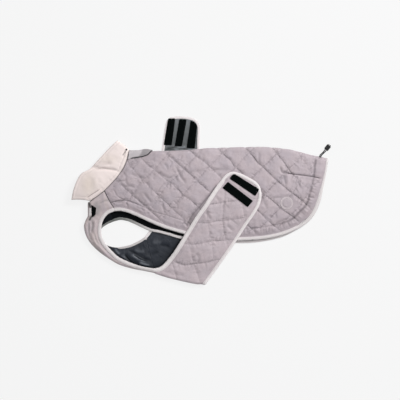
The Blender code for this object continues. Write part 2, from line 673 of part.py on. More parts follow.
def cut_hole(item, name, centre, along):
    """A straight round hole through a solid, left as a live Boolean."""
    bpy.ops.mesh.primitive_cylinder_add(vertices=16, radius=CORD_HOLE_DIAMETER / 2 * MM,
                                        depth=TOGGLE_LENGTH * 1.5 * MM,
                                        location=tuple(float(v) * MM for v in centre))
    cutter = bpy.context.object
    cutter.name = name
    cutter.rotation_mode = "QUATERNION"
    cutter.rotation_quaternion = Vector(tuple(along)).to_track_quat("Z", "Y")
    cutter.hide_render = True
    cutter.display_type = "WIRE"
    cut = item.modifiers.new(name, "BOOLEAN")
    cut.operation = "DIFFERENCE"
    cut.solver = "EXACT"
    cut.object = cutter


def main():
    clear_scene()
    quilt = material("quilted_shell", (0.47, 0.41, 0.425), 0.62)
    suede = material("collar_cloth", (0.74, 0.66, 0.63), 0.85)
    trim = material("binding_tape", (0.79, 0.70, 0.68), 0.6)
    hook = material("hook_tape", (0.012, 0.016, 0.016), 0.9)
    placket_cloth = material("placket_cloth", (0.36, 0.33, 0.34), 0.6)
    cord_cloth = material("black_cord", (0.012, 0.012, 0.014), 0.7)
    black = material("black_plastic", (0.015, 0.016, 0.018), 0.45)

    back, chest, band, collar = back_panel(), chest_panel(), belly_band(), collar_panel()
    seams = [(panel[0][0], panel[1][0].copy()) for panel in (back, chest, collar)]
    for k, panel in enumerate((back, chest, collar)):
        others = seams[:k] + seams[k + 1:]
        panel[1][0] = shared_normals(seams[k][0], seams[k][1], others)
    belly_seam = [(chest[0][-1], chest[1][-1].copy()), (band[0][0], band[1][0].copy())]
    chest[1][-1] = shared_normals(*belly_seam[0], belly_seam[1:])
    band[1][0] = shared_normals(*belly_seam[1], belly_seam[:1])
    wall("back", *back, CLOTH, quilt)
    wall("chest_panel", *chest, CLOTH, quilt)
    wall("belly_band", *band, CLOTH, quilt)
    wall("collar", *collar, CLOTH, suede)
    back_binding(back, chest, trim)
    leg_binding(chest, band, back, trim)
    for k, corners in enumerate(NEAR_TAPES):
        laid_piece(f"near_tape_{k + 1}", corners, near_flap_level, HOOK_TAPE, (6, 2), hook)
    for k, corners in enumerate(FAR_TAPES):
        laid_piece(f"far_tape_{k + 1}", corners, floor_level, HOOK_TAPE, (4, 2), hook)
    laid_piece("throat_pad", THROAT_PAD, chest_level, HOOK_TAPE, (2, 2), hook)
    laid_piece("throat_tab", THROAT_TAB, chest_level, TAB_CLOTH, (2, 3), trim)
    laid_piece("collar_tab", COLLAR_TAB, chest_level, TAB_CLOTH, (2, 6), suede)
    disc("round_patch", PATCH_CENTRE, PATCH_RADIUS, near_back_level, PATCH_CLOTH, 22, quilt)
    disc("nape_snap", SNAP_CENTRE, SNAP_RADIUS, chest_level, TAB_CLOTH, 12, black)
    leash_placket(back, placket_cloth)
    drawcord(back, cord_cloth, black)


if __name__ == "__main__":
    main()
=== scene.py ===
# %% [markdown]
# # A quilted winter coat for a small dog
#
# The coat lies flat on its side, as it would on a table: head end to the left, spine along the top.
# Its near half is on top, its far half is underneath, and the belly band runs out at both sides as a
# flap. The solids behind this scene already have the true size and place of every piece. Here each
# one gets the skin that a viewer sees: puffed quilting, soft folds, bound edges, tape and thread.
#
# One unit in Blender is a metre. The tables below are in millimetres, because a maker measures
# cloth that way, and MM turns them into metres.

# %% Load the frame
import math

import bpy
import numpy as np
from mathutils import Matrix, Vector, noise


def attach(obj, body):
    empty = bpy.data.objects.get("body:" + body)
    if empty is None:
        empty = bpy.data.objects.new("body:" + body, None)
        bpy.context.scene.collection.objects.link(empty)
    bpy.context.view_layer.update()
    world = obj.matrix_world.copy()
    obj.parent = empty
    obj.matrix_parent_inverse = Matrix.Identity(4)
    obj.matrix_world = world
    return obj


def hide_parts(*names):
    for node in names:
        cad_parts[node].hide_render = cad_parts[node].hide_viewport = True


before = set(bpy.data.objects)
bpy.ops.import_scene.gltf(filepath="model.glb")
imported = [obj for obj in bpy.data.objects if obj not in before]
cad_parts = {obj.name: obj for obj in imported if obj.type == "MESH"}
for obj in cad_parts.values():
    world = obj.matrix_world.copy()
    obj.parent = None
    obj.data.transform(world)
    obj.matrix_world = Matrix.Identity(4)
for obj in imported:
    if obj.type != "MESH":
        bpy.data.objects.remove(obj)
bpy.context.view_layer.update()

MM = 0.001

# %% [markdown]
# ## Camera
#
# A coat like this is pictured from straight above. A wide lens close by would swell the middle, so
# a long lens stands five metres up: 200 mm on a 36 mm sensor sees a square 0.9 m wide there.

# %% Camera
CAMERA_HEIGHT, SENSOR_WIDTH, LENS = 5.0, 36.0, 200.0


def placed(name, data):
    """An object made from some data and linked into the scene."""
    item = bpy.data.objects.new(name, data)
    bpy.context.scene.collection.objects.link(item)
    return item


camera = placed("view_from_above", bpy.data.cameras.new("view_from_above"))
camera.data.sensor_width, camera.data.lens = SENSOR_WIDTH, LENS
camera.location = (0.0, 0.0, CAMERA_HEIGHT)
bpy.context.scene.camera = camera
bpy.context.scene.view_settings.view_transform = "Standard"
print("width seen at the floor:", round(CAMERA_HEIGHT * SENSOR_WIDTH / LENS, 3), "m")

# %% [markdown]
# ## Paths
#
# A pattern cutter draws with a few points and a curved ruler. The same is done here: each outline
# is a short list of points, and a Catmull-Rom curve runs through them. The other helpers find a
# point at a share of a path, and how far any place is from a path.


# %% Paths
def length_along(path):
    steps = np.linalg.norm(np.diff(path, axis=0), axis=1)
    return np.concatenate([[0.0], np.cumsum(steps)])


def smooth(points, per_span=14):
    given = np.array(points, float)
    ends = np.vstack([2 * given[0] - given[1], given, 2 * given[-1] - given[-2]])
    path = []
    for k in range(len(given) - 1):
        p0, p1, p2, p3 = ends[k:k + 4]
        for t in np.linspace(0.0, 1.0, per_span, endpoint=False):
            path.append(0.5 * (2 * p1 + (p2 - p0) * t + (2 * p0 - 5 * p1 + 4 * p2 - p3) * t * t
                               + (3 * p1 - 3 * p2 + p3 - p0) * t ** 3))
    path.append(given[-1])
    return np.array(path)


def at(path, share):
    along = length_along(path)
    want = np.asarray(share) * along[-1]
    return np.stack([np.interp(want, along, path[:, k]) for k in range(path.shape[1])], axis=-1)


def joined(*paths):
    return np.vstack([paths[0]] + [path[1:] for path in paths[1:]])


def nearest(x, y, path):
    """Signed distance to a path (positive to its left) and the length along it, for many places."""
    starts, steps = path[:-1], np.diff(path, axis=0)
    squares = np.maximum((steps ** 2).sum(axis=1), 1e-9)
    lengths = length_along(path)
    best = np.full(x.shape, 1e9)
    signed, along = np.zeros(x.shape), np.zeros(x.shape)
    for (x0, y0), (dx, dy), square, run in zip(starts, steps, squares, lengths):
        share = np.clip(((x - x0) * dx + (y - y0) * dy) / square, 0.0, 1.0)
        away = np.hypot(x - x0 - share * dx, y - y0 - share * dy)
        closer = away < best
        best = np.where(closer, away, best)
        side = np.where(dx * (y - y0) - dy * (x - x0) >= 0, 1.0, -1.0)
        signed = np.where(closer, side * away, signed)
        along = np.where(closer, run + share * math.sqrt(square), along)
    return signed, along


def ease(value):
    share = np.clip(value, 0.0, 1.0)
    return share * share * (3.0 - 2.0 * share)


def falling(value, width):
    """1 where a value is zero, falling away on both sides."""
    return np.exp(-(value / width) ** 2)


def fading(off, reach):
    """1 on a line, falling away steeply beside it."""
    return np.exp(-np.abs(off) / reach)


def unit(vectors):
    return vectors / np.linalg.norm(vectors, axis=-1, keepdims=True)


def inside(x, y, outline):
    """True for places inside a closed outline."""
    count = np.zeros(x.shape, int)
    for (x0, y0), (x1, y1) in zip(outline, np.roll(outline, -1, axis=0)):
        crosses = (y0 > y) != (y1 > y)
        count += crosses & (x < x0 + (x1 - x0) * (y - y0) / (y1 - y0 + 1e-12))
    return count % 2 == 1


def cover(x, y, outline, margin):
    """1 inside a closed outline, easing to 0 at a margin outside it."""
    closed = np.vstack([outline, outline[:1]])
    away = np.abs(nearest(x, y, closed)[0])
    return np.where(inside(x, y, outline), 1.0, 1.0 - ease(away / margin))


# %% [markdown]
# ## The pattern pieces
#
# These are the edges of the cut pieces as they lie. "Near" is the upper side and "far" the side
# on the table. The far edges are a little lower, because the coat slumps towards the belly.

# %% Outlines of the pieces
CLOTH = 3.0
HALF_CLOTH = CLOTH / 2
FOLD_WIDTH, BELLY_FOLD_WIDTH = 5.5, 4.0

SPINE = [(-160.4, 108.4), (-112, 108.2), (-56, 108.8), (16, 114.3), (76, 116.4), (148, 117),
         (202, 111), (248, 99.5), (280.8, 93.3)]
NECK_NEAR = [(-160.4, 108.4), (-163, 94), (-171, 74), (-184, 54), (-199, 37), (-214.9, 20.9)]
NECK_THROAT = [(-214.9, 20.9), (-232, 8), (-250.9, -6)]
NECK_FAR = [(-160.4, 108.4), (-164, 92), (-172, 71), (-185, 50), (-200, 31), (-214.9, 14)]
NECK_THROAT_FAR = [(-214.9, 14), (-232, 4), (-250.9, -6)]
SHOULDER_NEAR = [(-214.9, 20.9), (-206, 2.5), (-194, -17.5)]
SHOULDER_FAR = [(-214.9, 14), (-207, -8), (-197, -41)]
HEM_NEAR = [(-194, -17.5), (-179, -16.5), (-162, -20), (-138, -29.5), (-113, -41), (-90, -51),
            (-66, -59.5), (-22, -71.5), (22, -79.5), (76, -83), (126, -81), (156, -77.2),
            (188, -69.3), (220.5, -55.6)]
RUMP_NEAR = [(280.8, 93.3), (276, 62.5), (268, 28), (258.5, -6.5), (243.5, -35), (220.5, -55.6)]
HEM_FAR = [(-197, -41), (-180, -36.8), (-160, -40), (-138, -49.5), (-112, -61.5), (-90, -66),
           (-67, -72), (-43, -79), (0, -84), (56, -88), (101, -89), (124, -87.5), (156, -82.5),
           (188, -73.5), (218.5, -57.5)]
RUMP_FAR = [(280.8, 93.3), (276, 62.5), (266.5, 28), (256.5, -6.5), (241.5, -36.5), (218.5, -57.5)]
CHEST_FOLD = [(-250.9, -6), (-250.6, -24), (-251, -37), (-256, -47), (-259.3, -58), (-257.3, -72),
              (-251, -87), (-241, -101), (-225, -116), (-207, -129), (-184, -143.3),
              (-158, -152.3), (-130, -158.5), (-101.3, -164.3)]
LEG_NEAR = [(-194, -17.5), (-211, -25), (-223, -39), (-229, -57), (-229.3, -76), (-225, -92),
            (-213, -109.5), (-190, -132.5), (-168, -144.3), (-146, -152.5), (-124, -157.6),
            (-101.9, -161.6)]
LEG_FAR = [(-197, -41), (-213, -48), (-228, -59.5), (-235.5, -78), (-229.5, -95.5),
           (-215, -107), (-200, -112.5), (-182, -114), (-154, -108.5), (-134.5, -98.5),
           (-121.5, -88)]
BELLY_FOLD = [(-101.3, -164.3), (-68, -174.4), (-36, -182), (-11, -187), (3.5, -188.6)]
NEAR_FLAP_FRONT = [(-101.3, -164.3), (-100.9, -161.6), (-90, -159.2), (-80, -153.5), (-66, -138.5),
                   (-47, -112.5), (-15, -60.5), (7, -24.5), (28.5, 9), (45, 33), (52.5, 42.5)]
NEAR_FLAP_TIP = [(52.5, 42.5), (58.5, 49), (68.5, 55), (78.5, 55), (98, 47.5), (119.5, 35.3),
                 (126.5, 28)]
NEAR_FLAP_BACK = [(3.5, -188.6), (15.2, -173), (38, -141.5), (69.5, -96.5), (94, -58.5),
                  (119, -22.2), (128.3, -1.5), (130, 14.5), (126.5, 28)]
CHEST_SEAM = [(-101.3, -164.3), (-111, -126), (-121.5, -88)]
FAR_FLAP_FRONT = [(-121.5, -88), (-111, -75), (-102, -56), (-89, 22), (-80, 112),
                  (-71.5, 168), (-67, 178)]
FAR_FLAP_TIP = [(-67, 178), (-62, 181), (-40, 182.2), (-20, 179.2), (-10.5, 174)]
FAR_FLAP_BACK = [(3.5, -188.6), (1.8, -124), (-2, -34), (-7, 112), (-6, 160), (-10.5, 174)]
COLLAR_NAPE = [(-160.4, 108.4), (-162, 114), (-174, 125), (-187, 132.7)]
COLLAR_RIM = [(-187, 132.7), (-207, 113.5), (-230, 88.5), (-248, 69.5), (-266, 59.5),
              (-276.5, 43), (-284.5, 21), (-288.4, 0.5)]
COLLAR_RIM_FAR = [(-187, 132.7), (-205, 112), (-228, 87), (-246, 67.5), (-263.5, 57.5),
                  (-274, 42), (-281.5, 21), (-285.4, 2)]
COLLAR_END = [(-246.5, -1.8), (-268, 0.8), (-288.4, 0.5)]
COLLAR_END_FAR = [(-246.5, -1.8), (-266, 2.4), (-285.4, 2)]
HEM_LINE = [(-290, -75), (-250, -72), (-196, -30), (-112, -50), (-22, -80), (76, -91),
            (158, -85), (225, -63), (266, -9), (290, 93)]
NEAR_TAPES = [[(65.4, 48.6), (75.6, 59.6), (132.9, 24), (123.7, 8.6)],
              [(50.2, 27.2), (62.4, 41), (118.7, -2.1), (106.7, -16.1)]]
FAR_TAPES = [[(-71.6, 183.4), (-55.4, 183.4), (-63.6, 123), (-81.4, 123.8)],
             [(-46.4, 181.6), (-29.9, 181), (-40.6, 120.9), (-56.6, 121)],
             [(-20.8, 179.2), (-12.4, 175.2), (-6.4, 166.8), (-11.8, 116.2), (-30.2, 116.6)]]
PATCH_CENTRE, PATCH_RADIUS = (194.6, -6.8), 14.5
print("along the spine:", round(length_along(smooth(SPINE))[-1]), "mm")

# %% [markdown]
# ## How high each layer lies
#
# Four heights matter: the table, the far back lifted over the belly band, the near back above the
# hollow where the dog goes, and the near flap on top of that. The hollow is low at the hem and
# rises towards the spine, as air and wadding hold it open.

# %% Layer heights
GAP_AT_HEM, GAP_RISE, GAP_RISE_LENGTH, GAP_PILLOW = 8.0, 5.0, 90.0, 2.5
SPINE_Y = 112.0
BAND_LIFT, BAND_SLOPE = 3.4, 34.0
BAND_FRONT, BAND_LEAN, BAND_BACK = -113.0, 0.13, 13.0
FLAP_REST, FLAP_FROM, FLAP_CLIMB = 4.3, 80.0, 62.0
PRESSED = [(-243, 73, -180, 64, 2.4, 8.0), (-262, 14, -238, 44, -1.5, 16.0),
           (252, 92, 238, 8, 1.6, 11.0), (238, 8, 178, -56, 1.2, 11.0),
           (205, 58, 270, 48, 1.4, 10.0)]


def hem_y(x):
    path = smooth(HEM_LINE)
    return np.interp(x, path[:, 0], path[:, 1])


def pressed_depth(x, y):
    """How far the top layer sinks along the lines where the coat is pressed down."""
    total = 0.0 * x
    for x0, y0, x1, y1, depth, width in PRESSED:
        away = nearest(x, y, np.array([(x0, y0), (x1, y1)], float))[0]
        total = total + depth * falling(away, width)
    return total


def band_rise(x, y):
    """1 over the belly band between the two sides, easing to 0 beside it."""
    front = x - BAND_FRONT - BAND_LEAN * y
    return ease((front + BAND_SLOPE) / BAND_SLOPE) * ease((BAND_BACK + BAND_SLOPE - x) / BAND_SLOPE)


def floor_level(x, y):
    return HALF_CLOTH + 0.0 * x


def far_back_level(x, y):
    return HALF_CLOTH + BAND_LIFT * band_rise(x, y)


def chest_level(x, y):
    rise = y - hem_y(x)
    share = np.clip(rise / (SPINE_Y - hem_y(x)), 0.0, 1.0)
    gap = GAP_AT_HEM + GAP_RISE * ease(rise / GAP_RISE_LENGTH) + GAP_PILLOW * np.sin(np.pi * share)
    return HALF_CLOTH + gap - pressed_depth(x, y)


def near_back_level(x, y):
    return chest_level(x, y) + BAND_LIFT * band_rise(x, y)


def near_flap_level(x, y):
    on_back = ease((y - hem_y(x) + FLAP_FROM) / FLAP_CLIMB)
    return chest_level(x, y) + (BAND_LIFT * band_rise(x, y) + FLAP_REST) * on_back


print("near flap over the belly:", round(float(near_flap_level(np.float64(0), np.float64(0))), 1), "mm")

# %% [markdown]
# ## Folding a piece of cloth
#
# Every panel here is one piece folded over: at the spine, the throat, the belly or the nape. One
# way to get such a form is to model both sides and bridge them. It is simpler to work it out like
# a cutter: walk from the fold to the edge, first round the fold and then along the layer. The grid
# that comes out has near edge, fold and far edge in one run, so the cloth has no join in it.


# %% Folded panels
def between(paths, u, shares, hold):
    """Places from the fold to the edge, in the plan, at a share u of the way from side to side."""
    fold, edge, side0, side1 = paths
    s = np.asarray(shares)[:, None]
    line = (1 - s) * at(fold, u) + s * at(edge, u)
    bend0 = at(side0, s[:, 0]) - (1 - s) * fold[0] - s * edge[0]
    bend1 = at(side1, s[:, 0]) - (1 - s) * fold[-1] - s * edge[-1]
    return line + (1 - u) ** hold * bend0 + u ** hold * bend1


def half_panel(paths, columns, turns, steps, fold_width, hold):
    """One side of a folded panel in the plan, and how far round the fold each place is."""
    plan, angles = [], []
    whole_turn = fold_width * math.pi / 2
    for u in columns:
        width = length_along(between(paths, u, np.linspace(0, 1, 81), hold))[-1]
        if width > fold_width:
            total = whole_turn + width - fold_width
        else:
            total = fold_width * math.acos(1 - width / fold_width)
        round_fold = min(whole_turn, 0.6 * total)
        run = np.concatenate([np.linspace(0, round_fold, turns + 1),
                              np.linspace(round_fold, total, steps + 1)[1:]])
        angle = np.minimum(run / fold_width, math.pi / 2)
        apart = fold_width * (1 - np.cos(angle)) + np.maximum(run - whole_turn, 0.0)
        plan.append(between(paths, u, np.clip(apart / width, 0.0, 1.0), hold))
        angles.append(angle)
    return np.array(plan), np.array(angles)


def folded_panel(near, far, columns, near_steps, far_steps, fold_width, upper, lower,
                 turns=6, hold=1):
    """Middle surface of a folded panel: points, normals, which are near, and the flat places."""
    shares = np.linspace(0.0, 1.0, columns)
    near_plan, near_angle = half_panel(near, shares, turns, near_steps, fold_width, hold)
    far_plan, far_angle = half_panel(far, shares, turns, far_steps, fold_width, hold)
    plan = np.concatenate([near_plan[:, ::-1], far_plan[:, 1:]], axis=1)
    angle = np.concatenate([near_angle[:, ::-1], -far_angle[:, 1:]], axis=1)
    x, y = plan[..., 0], plan[..., 1]
    top, bottom = upper(x, y), lower(x, y)
    points = np.dstack([x, y, (top + bottom) / 2 + (top - bottom) / 2 * np.sin(angle)])
    normals = np.cross(np.gradient(points, axis=0), np.gradient(points, axis=1))
    normals /= np.maximum(np.linalg.norm(normals, axis=2), 1e-9)[..., None]
    fold_row = near_plan.shape[1] - 1
    steps = np.linalg.norm(np.diff(points, axis=1), axis=2)
    across = np.concatenate([np.zeros((columns, 1)), np.cumsum(steps, axis=1)], axis=1)
    across -= across[:, fold_row:fold_row + 1]
    lengthwise = length_along(points[:, fold_row])[:, None] + 0.0 * across
    return {"points": points, "normals": normals, "x": x, "y": y, "fold_row": fold_row,
            "near": np.arange(x.shape[1])[None, :] <= fold_row, "angle": angle,
            "flat": np.dstack([lengthwise, across])}


def outward(panel):
    """The panel with its normals pointing out of the coat: up on the near side."""
    flat_part = panel["near"] & (panel["angle"] > 1.5)
    if (panel["normals"][..., 2] * flat_part).sum() < 0:
        panel["normals"] = -panel["normals"]
    return panel


def level_way(vectors):
    """Unit steps in the plan: the rise is left out."""
    level = vectors * [1.0, 1.0, 0.0]
    return level / np.maximum(np.linalg.norm(level, axis=-1, keepdims=True), 1e-6)


def let_out(panel, near, far, last=0.0, reach=14.0):
    """Keep the sewing edges, then run the cloth on under its bindings by some millimetres."""
    points, across = panel["points"], panel["flat"][..., 1]
    panel["edges"] = points.copy()
    moved = np.zeros_like(points)
    for j, inner, amount in ((0, 5, near), (-1, -6, far)):
        share = 1 - ease(np.abs(across - across[:, j, None]) / reach)
        share = np.asarray(amount).reshape(-1, 1) * share
        moved += share[..., None] * level_way(points[:, j] - points[:, inner])[:, None]
    share = 1 - ease(np.linalg.norm(points - points[-1], axis=2) / reach)
    moved += last * share[..., None] * level_way(points[-1] - points[-6])[None]
    panel["points"] = points + moved
    panel["x"], panel["y"] = panel["points"][..., 0], panel["points"][..., 1]
    return panel


near_neck, far_neck = smooth(NECK_NEAR), smooth(NECK_FAR)
back = outward(folded_panel(
    (smooth(SPINE), smooth(HEM_NEAR), joined(near_neck, smooth(SHOULDER_NEAR)), smooth(RUMP_NEAR)),
    (smooth(SPINE), smooth(HEM_FAR), joined(far_neck, smooth(SHOULDER_FAR)), smooth(RUMP_FAR)),
    290, 122, 30, FOLD_WIDTH, near_back_level, far_back_level))
back = let_out(back, near=2.4, far=3.4, last=2.8)
chest = outward(folded_panel(
    (smooth(CHEST_FOLD), smooth(LEG_NEAR),
     joined(smooth(NECK_THROAT)[::-1], smooth(SHOULDER_NEAR)),
     smooth([CHEST_FOLD[-1], LEG_NEAR[-1]])),
    (smooth(CHEST_FOLD), smooth(LEG_FAR),
     joined(smooth(NECK_THROAT_FAR)[::-1], smooth(SHOULDER_FAR)), smooth(CHEST_SEAM)),
    170, 42, 44, BELLY_FOLD_WIDTH, chest_level, floor_level, hold=9))
leg_share = np.linspace(0.0, 1.0, 170)
tucked = ease((leg_share - 0.40) / 0.10) * ease((0.69 - leg_share) / 0.08)
chest = let_out(chest, near=1.8, far=4.4 + 3.2 * tucked)
far_front = joined(smooth(CHEST_SEAM), smooth(FAR_FLAP_FRONT))
band = outward(folded_panel(
    (smooth(BELLY_FOLD), smooth(NEAR_FLAP_TIP), smooth(NEAR_FLAP_FRONT), smooth(NEAR_FLAP_BACK)),
    (smooth(BELLY_FOLD), smooth(FAR_FLAP_TIP), far_front, smooth(FAR_FLAP_BACK)),
    70, 170, 150, BELLY_FOLD_WIDTH, near_flap_level, floor_level))
band = let_out(band, near=1.0, far=1.8, last=1.4)
COLLAR_THROAT = [NECK_NEAR[-1], NECK_THROAT[1], COLLAR_END[0]]
COLLAR_THROAT_FAR = [NECK_FAR[-1], NECK_THROAT_FAR[1], COLLAR_END_FAR[0]]
collar = outward(folded_panel(
    (smooth(COLLAR_NAPE), smooth(COLLAR_END), joined(near_neck, smooth(COLLAR_THROAT)),
     smooth(COLLAR_RIM)),
    (smooth(COLLAR_NAPE), smooth(COLLAR_END_FAR), joined(far_neck, smooth(COLLAR_THROAT_FAR)),
     smooth(COLLAR_RIM_FAR)),
    46, 110, 60, FOLD_WIDTH, chest_level, floor_level))
for title, panel in (("back", back), ("chest", chest), ("band", band), ("collar", collar)):
    print(title, "grid", panel["x"].shape)

# %% [markdown]
# ## Quilting lines
#
# The shell, wadding and lining are quilted together in diamonds about 42 mm on a side. The rows
# wander a little, as they do when a soft sandwich is fed under a needle. Each row is a short list
# of points. Two numbers per place, one for each direction of rows, say between which rows it lies:
# a whole number is on a row of stitches. They make both the puffs in the mesh and the thread in
# the material, so the two always agree.

# %% Rows of quilting
BACK_ROWS_DOWN = [
    [(-198, 56), (-178, 36), (-158, 16), (-137, -2), (-119, -18)],
    [(-162, 86), (-144, 63), (-126, 43), (-108, 25), (-90, 7), (-74, -8), (-54, -27), (-22, -54)],
    [(-144, 108), (-122, 83), (-97, 63), (-76, 45), (-58, 32), (-38, 12), (-22, 0), (-4, -16)],
    [(-83, 110), (-68, 97), (-32, 66), (-20, 56), (-9, 45), (2, 35), (22, 18), (76, -29),
     (104, -54), (128, -76)],
    [(-22, 110), (-9, 99), (9, 86), (20, 76), (29, 68), (47, 50), (81, 20), (124, -18), (146, -40),
     (160, -53), (184, -71)],
    [(45, 110), (58, 97), (68, 89), (76, 76), (86, 68), (112, 43), (142, 15), (158, 2), (182, -19),
     (207, -37), (226, -54)],
    [(106, 112), (119, 97), (130, 83), (142, 73), (164, 51), (180, 37), (198, 22), (214, 10),
     (232, -4), (254, -25)],
    [(166, 112), (182, 92), (189, 83), (198, 70), (205, 60), (223, 43), (241, 27), (266, 7)],
    [(223, 101), (234, 86), (245, 70), (252, 58), (270, 36)]]
BACK_ROWS_UP = [
    [(-133, 108), (-148, 90), (-166, 68), (-184, 45), (-200, 22), (-216, 0)],
    [(-68, 108), (-83, 90), (-99, 72), (-115, 56), (-122, 50), (-137, 36), (-153, 9), (-171, -14)],
    [(-2, 108), (-20, 87), (-32, 76), (-50, 54), (-72, 36), (-86, 18), (-94, 2), (-122, -36)],
    [(54, 108), (40, 94), (27, 81), (14, 68), (-4, 47), (-22, 29), (-36, 14), (-54, -7), (-86, -43)],
    [(117, 112), (101, 97), (86, 79), (58, 50), (27, 18), (0, -9), (-36, -50)],
    [(182, 112), (169, 101), (158, 90), (142, 74), (130, 63), (112, 45), (86, 18), (45, -22),
     (11, -56)],
    [(234, 101), (212, 81), (189, 61), (171, 40), (153, 21), (140, 7), (124, -14), (104, -38),
     (72, -76)],
    [(266, 92), (245, 72), (225, 48), (214, 26), (202, 9), (189, -7), (171, -27), (140, -58),
     (126, -74)],
    [(281, 61), (261, 38), (250, 25), (238, 9), (223, -14), (205, -32), (187, -50), (171, -65)]]
FLAP_ROWS_ACROSS = [
    [(-72, -128), (-54, -140), (-36, -146), (-16, -144), (16, -140), (29, -136), (47, -133)],
    [(-36, -97), (-20, -100), (0, -98), (22, -93), (38, -92), (65, -90), (81, -88)],
    [(0, -51), (20, -51), (38, -47), (56, -46), (74, -44), (104, -38)],
    [(29, -9), (45, -7), (63, -4), (90, -1), (117, 2)],
    [(40, 42), (75, 48), (120, 60)]]
FLAP_ROWS_UP = [
    [(-63, -140), (-56, -162), (-52, -178)],
    [(-38, -62), (-29, -86), (-22, -108), (-18, -126), (-11, -151), (-4, -171)],
    [(14, -4), (16, -27), (18, -50), (22, -74), (27, -94), (29, -117), (32, -140)],
    [(57, 20), (54, -7), (52, -25), (51, -45), (54, -72), (61, -99)],
    [(88, 40), (90, 22), (94, -4), (99, -32), (104, -50)],
    [(128, 40), (131, 10), (136, -20)]]


def lengthened(points, extra=260.0):
    """A row that runs on straight past both of its ends."""
    path = smooth(points, 6)
    return np.vstack([path[0] + unit(path[0] - path[1]) * extra, path,
                      path[-1] + unit(path[-1] - path[-2]) * extra])


def rows_between(x, y, rows):
    """Between which rows each place lies (1.5 is midway from row 1 to row 2), and how far off."""
    signed = np.array([nearest(x, y, lengthened(row))[0] for row in rows])
    if signed[0].mean() < signed[-1].mean():
        signed = -signed
    passed = np.clip((signed > 0).sum(axis=0), 1, len(rows) - 1) - 1
    here = np.take_along_axis(signed, passed[None], axis=0)[0]
    after = np.take_along_axis(signed, passed[None] + 1, axis=0)[0]
    span = np.maximum(here - after, 1.0)
    return passed + here / span, np.abs(signed).min(axis=0)


def even_rows(x, y, angle, spacing, wander):
    """A plain set of parallel rows, for sides that lie underneath."""
    turn = math.radians(angle)
    run = x * math.cos(turn) + y * math.sin(turn)
    other = -x * math.sin(turn) + y * math.cos(turn)
    astray = wander * np.sin(other / 37.0) + 0.6 * wander * np.sin(other / 17.0 + 1.3)
    phase = (run + astray) / spacing
    return phase, np.abs(phase - np.round(phase)) * spacing


print("rows on the back:", len(BACK_ROWS_DOWN), "and", len(BACK_ROWS_UP))

# %% [markdown]
# ## Creases given one by one
#
# Cloth that has been folded and laid down keeps creases that no rule gives. Each is a short path
# with a depth, a width and how dark it looks, all listed. A negative depth is a ridge.
# The stitched seams that don't belong to the quilting are here too: the casing that holds the
# drawcord, the dart over the rump and the topstitching beside the front edge.

# %% Creases
# The last number of each crease is the painted shade in it; below zero it is a painted highlight.
BACK_CREASES = [
    ([(-81, 82), (-74, 74), (-72, 66)], 1.0, 2.6, 0.45),
    ([(-58, 79), (-52, 72), (-47, 61), (-43, 52), (-36, 43), (-29, 33)], 1.3, 2.8, 0.7),
    ([(-126, 18), (-119, 7), (-112, -2), (-106, -7)], 1.1, 2.8, 0.55),
    ([(-88, -7), (-81, -20), (-79, -32)], 1.0, 2.6, 0.5),
    ([(-56, 90), (-65, 97)], 0.9, 2.4, 0.35),
    ([(-101, 68), (-88, 58), (-76, 52), (-68, 50), (-56, 58)], 1.1, 3.2, 0.5),
    ([(-158, 61), (-144, 54), (-133, 50), (-122, 50)], 1.1, 3.2, 0.45),
    ([(-176, 29), (-158, 32), (-144, 27)], 1.1, 3.0, 0.5),
    ([(-196, -2), (-180, -4), (-166, 4)], 1.2, 2.6, 0.7),
    ([(187, 58), (190, 45), (194, 32)], 1.1, 2.8, 0.75),
    ([(180, 76), (184, 63), (194, 60)], 1.2, 2.6, 1.0),
    ([(184, 60), (190, 61), (202, 59.5)], 1.2, 2.4, 1.0),
    ([(112, -65), (128, -63), (140, -61)], 1.2, 2.4, 0.6),
    ([(155, -61), (154, -74)], 1.3, 2.4, 0.75),
    ([(106, -63), (107, -76)], 1.1, 2.2, 0.7),
    ([(92, -70), (88, -81)], 1.1, 2.2, 0.7),
    ([(166, -54), (182, -47), (198, -42)], 1.1, 2.6, 0.6),
    ([(160, 4), (173, 6), (187, 7)], 1.0, 3.0, 0.5),
    ([(135, 14), (144, -4), (151, -22)], 1.1, 3.4, 0.5),
    ([(-38, -47), (-33, -53), (-27, -60)], 1.3, 2.0, 1.0),
    ([(-20, -41), (-28, -51), (-32, -60)], 1.2, 2.0, 0.9),
    ([(-24, -51), (-32, -53), (-42, -52)], 1.0, 1.9, 0.8),
    ([(133, 108), (132, 92), (135, 76)], 1.0, 2.8, 0.4),
    ([(-38, 62), (-11, 64), (11, 65)], 0.9, 5.0, 0.25),
    ([(25, 68), (50, 69), (72, 70)], 1.2, 5.0, 0.35),
    ([(-150, 84), (-141, 92), (-136, 104)], 0.9, 4.0, 0.3)]
CASING = [(259, 94), (257, 79), (255, 56), (252, 40), (249, 27), (245, 13), (242, 0), (236, -13.5),
          (223, -27), (209, -41), (190, -51), (169, -57), (124, -64), (86, -66)]
DART = [(193.5, 61), (205, 58.5), (225, 56), (248, 53), (273, 48)]
FRONT_TOPSTITCH = [(-225, -14), (-207, -8), (-184, -2), (-166, -1), (-142, -9), (-122, -18),
                   (-101, -27), (-79, -33), (-45, -44), (-22, -52)]
FLAP_CREASES = [
    ([(11, -25), (18, -34), (25, -45)], 1.1, 2.6, 0.6),
    ([(34, 9), (45, -4)], 0.9, 2.8, 0.35),
    ([(58, -54), (74, -70)], 1.0, 2.8, 0.4),
    ([(-32, -72), (-18, -86)], 0.9, 2.6, 0.4),
    ([(-11, -117), (-2, -130), (-7, -144)], 1.0, 3.0, 0.4),
    ([(-84, -158), (-60, -166), (-30, -171)], 0.8, 4.0, 0.2)]
